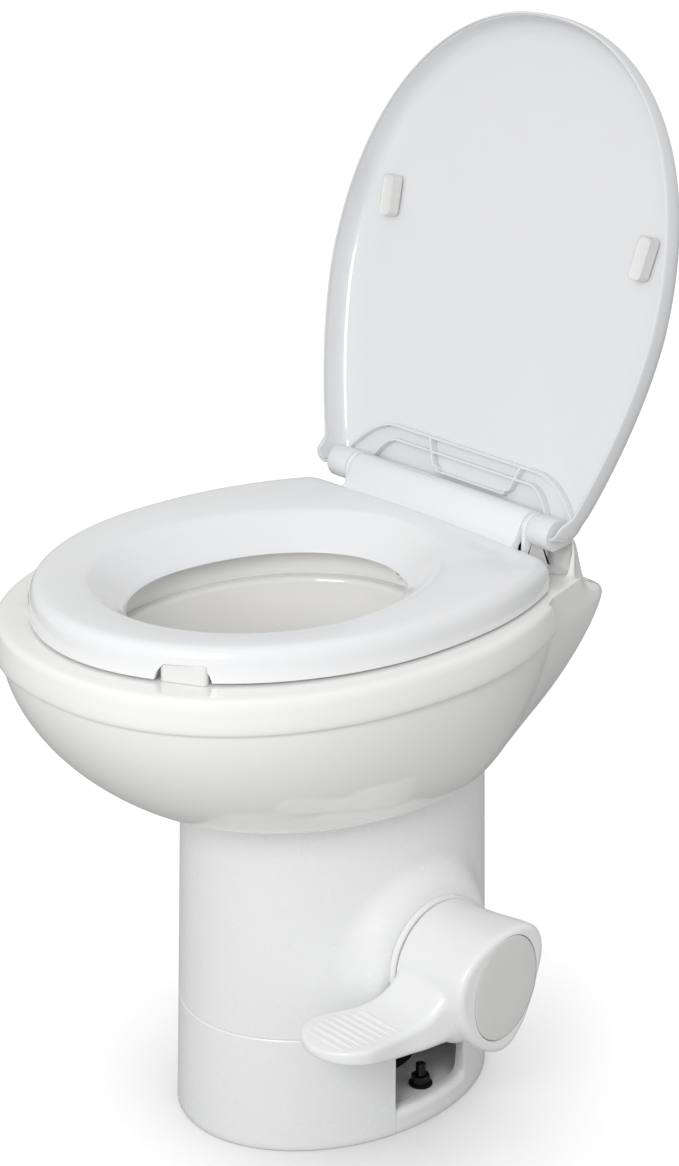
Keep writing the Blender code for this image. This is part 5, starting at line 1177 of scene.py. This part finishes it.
def build_ridges():
    s = sizes()
    points, reaches = [], []
    for y in np.linspace(TREAD_START, TREAD_END, s.ridges):
        inner, outer, top, _ = arm_section((s.pedal_y - y) / s.arm_length)
        points.append(((inner + outer) / 2, y, top - 0.0002))
        reaches.append((outer - inner) / 2 - RIDGE_MARGIN)
    mesh = plain_mesh("tread_ridges", points)
    mesh.attributes.new("reach", "FLOAT", "POINT").data.foreach_set("value", reaches)
    return grown("tread_ridges", mesh, *ridge_tree(),
                 {"Ridge Width": s.ridge_width, "Ridge Height": s.ridge_height, "Finish": finish("pedal")})


def build_bearing():
    s = sizes()
    face = s.boss_x + GAP
    plate_r = 0.049
    profile = [(0, 0.0225), (0.009, 0.0225), (0.009, 0.003), (0.0448, 0.003), (0.0452, 0.0042),
               (0.0461, 0.0045), (0.0480, 0.0045), (0.0488, 0.0041), (plate_r, 0.0030), (plate_r, 0), (0, 0)]
    profile = [(radius, face + height) for radius, height in profile]
    return turned("pedal_bearing_plate", profile, (0, s.pedal_y, s.pedal_z), "X", 96)


# Hinge, bumpers and floor bolts


POST_R = 0.0125
POST_LOW_X, POST_HIGH_X = 0.0960, 0.0997
BLOCK_LOW_X, BLOCK_HIGH_X = 0.0872, 0.0992
POST_EDGE = 0.0009
# Radius and place along X of the collar towards the seat's barrel
COLLAR = ((0, 0.0938), (0.0098, 0.0938), (0.0102, 0.0942), (0.0102, 0.0997), (0, 0.0997))
PAD_STEPS = 5
THREAD_R, THREAD_CREST = 0.0036, 0.00042


def build_post(side, name):
    s = sizes()
    foot, y, r = s.rim_z + GAP, s.hinge_y, POST_R
    outline = [(y - r - 0.004, foot), (y + r + 0.004, foot), (y + r + 0.004, foot + 0.0012),
               (y + r + 0.001, foot + 0.003), *arc(y, HINGE.z, r, range(0, 181, 6)),
               (y - r - 0.001, foot + 0.003), (y - r - 0.004, foot + 0.0012)]
    low, high = sorted((side * POST_LOW_X, side * POST_HIGH_X))
    post = rounded_prism("post_" + name, outline, low, high, POST_EDGE)
    collar = turned("post_collar_" + name, [(radius, side * x) for radius, x in COLLAR][::side],
                    (0, y, HINGE.z), "X")
    foot_outline = [(y - 0.0125, foot + 0.0002), (y + 0.0150, foot + 0.0002), (y + 0.0120, 0.4475),
                    (y + 0.0095, 0.4500), (y - 0.0085, 0.4500), (y - 0.0110, 0.4475)]
    near, far = sorted((side * BLOCK_LOW_X, side * BLOCK_HIGH_X))
    foot_block = rounded_prism("post_foot_" + name, foot_outline, near, far, POST_EDGE)
    stud = turned("stud_" + name, [(0, s.rim_z - 0.036), (0.004, s.rim_z - 0.0355), (0.004, foot + 0.002),
                                   (0, foot + 0.002)], ((low + high) / 2, y, 0))
    return joined("hinge_post_form_" + name, [post, foot_block, collar, stud])


def build_pad(name, place, turn, half_length, half_width, low, high):
    """Rounded rubber pad standing on a flat foot."""
    edge = min(half_width, half_length) * 0.35
    rings = [rounded_bar(half_length, half_width, low, half_width * 0.7, 6)]
    for k in range(PAD_STEPS + 1):
        angle = math.radians(90) * k / PAD_STEPS
        shrink = edge * (1 - math.cos(angle))
        rings.append(rounded_bar(half_length - shrink, half_width - shrink,
                                 high - edge * (1 - math.sin(angle)), half_width * 0.7 - shrink * 0.7, 6))
    pad = solid(name, rings)
    pad.data.transform(Matrix.Translation(place) @ Matrix.Rotation(turn, 4, "Z"))
    return pad


def thread_tree():
    """Geometry Nodes: thread crests along a bolt, one ring for each point."""
    tree, given, identifiers = growth_tree("bolt_thread", ("Thread Radius", "Crest"))
    circle, crest = (add_node(tree, "GeometryNodeCurvePrimitiveCircle",
                              {"Resolution": count, "Radius": given[label]}).outputs["Curve"]
                     for label, count in (("Thread Radius", 20), ("Crest", 6)))
    sweep = add_node(tree, "GeometryNodeCurveToMesh", {"Curve": circle, "Profile Curve": crest})
    place_on_points(tree, given, sweep, {})
    return tree, identifiers


def build_floor_bolts():
    s = sizes()
    x, y = 0.084, 0.017
    pieces, points = [], []
    for side, _ in SIDES:
        place = (side * x, y, 0)
        bolt = [(0, 0.037), (0.0029, 0.037), (0.0036, 0.0363), (0.0036, 0.0097), (0.0055, 0.0097),
                (0.0055, 0.0065), (0, 0.0065)]
        washer = [(0.0042, 0.0183), (0.0095, 0.0183), (0.0095, 0.0196), (0.0091, 0.0198), (0.0042, 0.0198)]
        pieces += [turned("bolt", bolt, place, steps=32), turned("washer", washer, place, steps=48),
                   hex_nut(place)]
        points += [(side * x, y, z) for z in np.linspace(0.0275, 0.0362, s.threads)]
    threads = grown("bolt_threads", plain_mesh("bolt_threads", points), *thread_tree(),
                    {"Thread Radius": THREAD_R, "Crest": THREAD_CREST, "Finish": finish("black")})
    return joined("floor_bolt_set", pieces + [threads])


def hex_nut(place):
    """Hexagon nut with chamfered corners."""
    low, high, r = 0.0201, 0.0266, 0.0078
    rings = []
    middle = math.radians(30)
    for z, reach in ((low, r * 0.93), (low + 0.0007, r), (high - 0.0007, r), (high, r * 0.93)):
        points = []
        for i in range(60):
            turn = 2 * math.pi * i / 60
            flat = math.cos(middle) * r / math.cos((turn + middle) % math.radians(60) - middle)
            points.append((min(flat, reach) * math.cos(turn), min(flat, reach) * math.sin(turn), z))
        rings.append(points)
    nut = solid("nut", rings)
    nut.data.transform(Matrix.Translation(place))
    return nut


# Operators


class TOILET_OT_pedestal(Operator):
    """Build the pedestal with its skirt seam, boss and bolt windows"""

    bl_idname = "toilet.pedestal"
    bl_label = "Pedestal"

    def execute(self, context):
        finish_piece(build_pedestal(), "base", "shell", ("pedestal",), 50)
        return {"FINISHED"}


class TOILET_OT_bowl(Operator):
    """Build the bowl with its band, rear block, ledge and rinse hole"""

    bl_idname = "toilet.bowl"
    bl_label = "Bowl"

    def execute(self, context):
        finish_piece(build_bowl(), "base", "bowl", ("bowl",), 60)
        nozzle = turned("rinse_jet", [(0.003, 0.092), (0.0062, 0.092), (0.0062, 0.0705), (0.0058, 0.0701),
                                      (0.0034, 0.0701), (0.003, 0.0705)], NOZZLE_PLACE, "Y")
        finish_piece(nozzle, "base", "bowl", ("rinse_nozzle",))
        return {"FINISHED"}


class TOILET_OT_seat(Operator):
    """Build the seat ring with its ramp, barrel and bumpers"""

    bl_idname = "toilet.seat"
    bl_label = "Seat"

    def execute(self, context):
        s = sizes()
        finish_piece(build_seat(), "seat", "seat", ("seat",))
        for side, name in SIDES:
            turn = side * math.atan2(0.085, 0.147)
            pad = build_pad("seat_bumper_pad_" + name, (side * BUMPER_X, BUMPER_Y, 0), turn, 0.0172, 0.0048,
                            s.rim_z + GAP, s.seat_low_z + NOTCH_HEIGHT - 0.0006)
            finish_piece(pad, "seat", "bumper", ("seat_bumper_" + name,))
        return {"FINISHED"}


class TOILET_OT_lid(Operator):
    """Build the lid with its ribs, hinge barrels and bumpers"""

    bl_idname = "toilet.lid"
    bl_label = "Lid"

    def execute(self, context):
        finish_piece(build_lid(), "lid", "lid", ("lid",))
        finish_piece(build_lid_ribs(), "lid", "lid", sharp=35)
        for side, name in SIDES:
            turn = math.radians(90) + side * 0.10
            pad = build_pad("lid_bumper_pad_" + name, (side * 0.135, -0.215, 0), turn,
                            0.0165, 0.0062, 0.0145, 0.0065)
            finish_piece(open_lid(pad), "lid", "bumper", ("lid_bumper_" + name,))
        return {"FINISHED"}


class TOILET_OT_hinge(Operator):
    """Build the hinge posts"""

    bl_idname = "toilet.hinge"
    bl_label = "Hinge posts"

    def execute(self, context):
        for side, name in SIDES:
            finish_piece(build_post(side, name), "base", "seat", ("hinge_post_" + name,))
        return {"FINISHED"}


class TOILET_OT_pedal(Operator):
    """Build the foot pedal with its cap, ridges and bearing plate"""

    bl_idname = "toilet.pedal"
    bl_label = "Foot pedal"

    def execute(self, context):
        finish_piece(build_pedal(), "pedal", "pedal", ("pedal",), 45)
        finish_piece(build_ridges(), "pedal", "pedal", sharp=60)
        finish_piece(build_cap(), "pedal", "cap", ("pedal_cap",))
        finish_piece(build_bearing(), "base", "shell", ("pedal_bearing",))
        return {"FINISHED"}


class TOILET_OT_bolts(Operator):
    """Build the floor bolts, washers and nuts in the windows"""

    bl_idname = "toilet.bolts"
    bl_label = "Floor bolts"

    def execute(self, context):
        kinds = ("floor_bolt_", "floor_washer_", "floor_nut_")
        nodes = [kind + name for kind in kinds for _, name in SIDES]
        finish_piece(build_floor_bolts(), "base", "black", nodes)
        return {"FINISHED"}


HIDDEN_FINISHES = {
    "rubber": ("bowl_seal", "floor_seal"),
    "valve": ("valve_body", "water_valve", "vacuum_breaker", "pedal_gear"),
    "steel": ("clamp_half_left", "clamp_half_right", "clamp_screw_front", "clamp_screw_rear",
              "spring_cartridge", "pedal_screw", "hinge_pin_left", "hinge_pin_right", "drive_shaft"),
    "natural": ("pinion_gear", "valve_cam", "shaft_bushing", "hinge_nut_left", "hinge_nut_right",
                "water_inlet"),
    "hose": ("rinse_hose", "rinse_tube"),
    "brass": ("valve_plunger",),
    "bowl": ("flush_ball",),
}


class TOILET_OT_works(Operator):
    """Give the valve, the gears and the water side their finishes"""

    bl_idname = "toilet.works"
    bl_label = "Inner works"

    def execute(self, context):
        for name, nodes in HIDDEN_FINISHES.items():
            for node in nodes:
                paint(frame["nodes"][node].data, name, 35)
        return {"FINISHED"}


FLOOR_HALF = 6.0
FLOOR_GLOW = 0.71
# How far the floor's painted shadow reaches round what stands on it
FLOOR_PAINTED_SHADOW_REACH = 0.22
SURROUNDINGS = 0.67
# Photo's height and focal length in its pixels
PHOTO_HEIGHT, PHOTO_FOCUS = 1166, 2860.5
SENSOR = 24
CAMERA_PLACE = (1.4923, -1.3472, 1.2012)
CAMERA_FORWARD = (-0.6881, 0.6301, -0.3599)
CAMERA_ROLL = math.radians(0.22)
WHITE = (1, 1, 1, 1)


def lamp(name, place, target, size, power):
    """A rectangular soft lamp aimed at a point."""
    light = bpy.data.lights.new(name, "AREA")
    light.shape = "RECTANGLE"
    light.size, light.size_y = size
    light.energy = power
    obj = bpy.data.objects.new(name, light)
    obj.location = place
    obj.rotation_euler = (Vector(target) - Vector(place)).to_track_quat("-Z", "Y").to_euler()
    bpy.context.scene.collection.objects.link(obj)


def camera_apart(tree, others, seen, output):
    """Show one shader to the camera and another to all other rays."""
    path = tree.nodes.new("ShaderNodeLightPath")
    mix = add_node(tree, "ShaderNodeMixShader", {"Fac": path.outputs["Is Camera Ray"], 1: others, 2: seen})
    feed(tree, tree.nodes[output], {"Surface": mix.outputs["Shader"]})


def floor_finish():
    """Pale floor, white to the camera where no shadow falls, with a painted shadow near what stands on it."""
    material, tree, shader, coordinates = finish_nodes("studio_floor")
    clouds = tinted(tree, noise(tree, coordinates, 3), colours().floor, 0.99)
    feed(tree, shader, {"Base Color": clouds, "Roughness": 0.9, "Specular IOR Level": 0.1})
    # Painted shadow: ambient occlusion dims the floor's glow near what stands on it
    painted_shadow = add_node(tree, "ShaderNodeAmbientOcclusion", {"Distance": FLOOR_PAINTED_SHADOW_REACH})
    glow = add_node(tree, "ShaderNodeEmission", {"Color": painted_shadow.outputs["Color"], "Strength": FLOOR_GLOW})
    lit = add_node(tree, "ShaderNodeAddShader", {0: shader.outputs["BSDF"], 1: glow.outputs["Emission"]})
    dim = add_node(tree, "ShaderNodeBsdfDiffuse", {"Color": (0.5, 0.5, 0.5, 1)})
    camera_apart(tree, dim.outputs["BSDF"], lit.outputs["Shader"], "Material Output")
    return material


def white_surroundings():
    """World that lights softly and is white to the camera."""
    world = bpy.data.worlds.new("studio")
    bpy.context.scene.world = world
    world.use_nodes = True
    tree = world.node_tree
    soft = tree.nodes["Background"]
    feed(tree, soft, {"Color": WHITE, "Strength": SURROUNDINGS})
    plain = add_node(tree, "ShaderNodeBackground", {"Color": WHITE, "Strength": 1})
    camera_apart(tree, soft.outputs["Background"], plain.outputs["Background"], "World Output")


def photo_camera():
    """Camera that stands where the photo's did."""
    lens = bpy.data.cameras.new("photo_camera")
    lens.sensor_fit = "VERTICAL"
    lens.sensor_height = SENSOR
    lens.lens = PHOTO_FOCUS / PHOTO_HEIGHT * SENSOR
    lens.shift_x = 0.00389
    lens.shift_y = 0.0027
    camera = bpy.data.objects.new("photo_camera", lens)
    forward = Vector(CAMERA_FORWARD).normalized()
    right = forward.cross(Vector((0, 0, 1))).normalized()
    turn = Matrix((right, right.cross(forward), -forward)).transposed().to_4x4()
    camera.matrix_world = Matrix.Translation(CAMERA_PLACE) @ turn @ Matrix.Rotation(CAMERA_ROLL, 4, "Z")
    return camera


class TOILET_OT_stage(Operator):
    """Build the floor, the lamp, the surroundings and the camera"""

    bl_idname = "toilet.stage"
    bl_label = "Studio"

    def execute(self, context):
        h = FLOOR_HALF
        corners = [(-h, -h, 0), (h, -h, 0), (h, h, 0), (-h, h, 0)]
        floor = mesh_object("studio_floor_plane", corners, [(0, 1, 2, 3)])
        context.scene.collection.objects.link(floor)
        floor.data.materials.append(floor_finish())
        white_surroundings()
        lamp("front_softbox", (1.2, -2.1, 1.6), (0, 0, 0.35), (1.0, 1.0), 31)
        camera = photo_camera()
        context.scene.collection.objects.link(camera)
        context.scene.camera = camera
        context.scene.view_settings.view_transform = "Standard"
        return {"FINISHED"}


OPERATORS = (TOILET_OT_pedestal, TOILET_OT_bowl, TOILET_OT_seat, TOILET_OT_lid, TOILET_OT_hinge,
             TOILET_OT_pedal, TOILET_OT_bolts, TOILET_OT_works, TOILET_OT_stage)


class TOILET_PT_panel(Panel):
    """Panel in the sidebar with the toilet's pieces, sizes and colours"""

    bl_idname = "TOILET_PT_panel"
    bl_label = "Motorhome Toilet"
    bl_space_type = "VIEW_3D"
    bl_region_type = "UI"
    bl_category = "Toilet"

    def draw(self, context):
        for operator in OPERATORS:
            self.layout.operator(operator.bl_idname)
        for group in (context.scene.toilet_sizes, context.scene.toilet_colours):
            box = self.layout.box()
            for key in group.bl_rna.properties.keys():
                if key not in ("rna_type", "name"):
                    box.prop(group, key)


CLASSES = (ToiletSizes, ToiletColours, *OPERATORS, TOILET_PT_panel)


def register():
    for cls in CLASSES:
        bpy.utils.register_class(cls)
    bpy.types.Scene.toilet_sizes = PointerProperty(type=ToiletSizes)
    bpy.types.Scene.toilet_colours = PointerProperty(type=ToiletColours)


def unregister():
    del bpy.types.Scene.toilet_colours
    del bpy.types.Scene.toilet_sizes
    for cls in reversed(CLASSES):
        bpy.utils.unregister_class(cls)


def main():
    register()
    for operator in OPERATORS:
        group, name = operator.bl_idname.split(".")
        getattr(getattr(bpy.ops, group), name)()


if __name__ == "__main__":
    main()
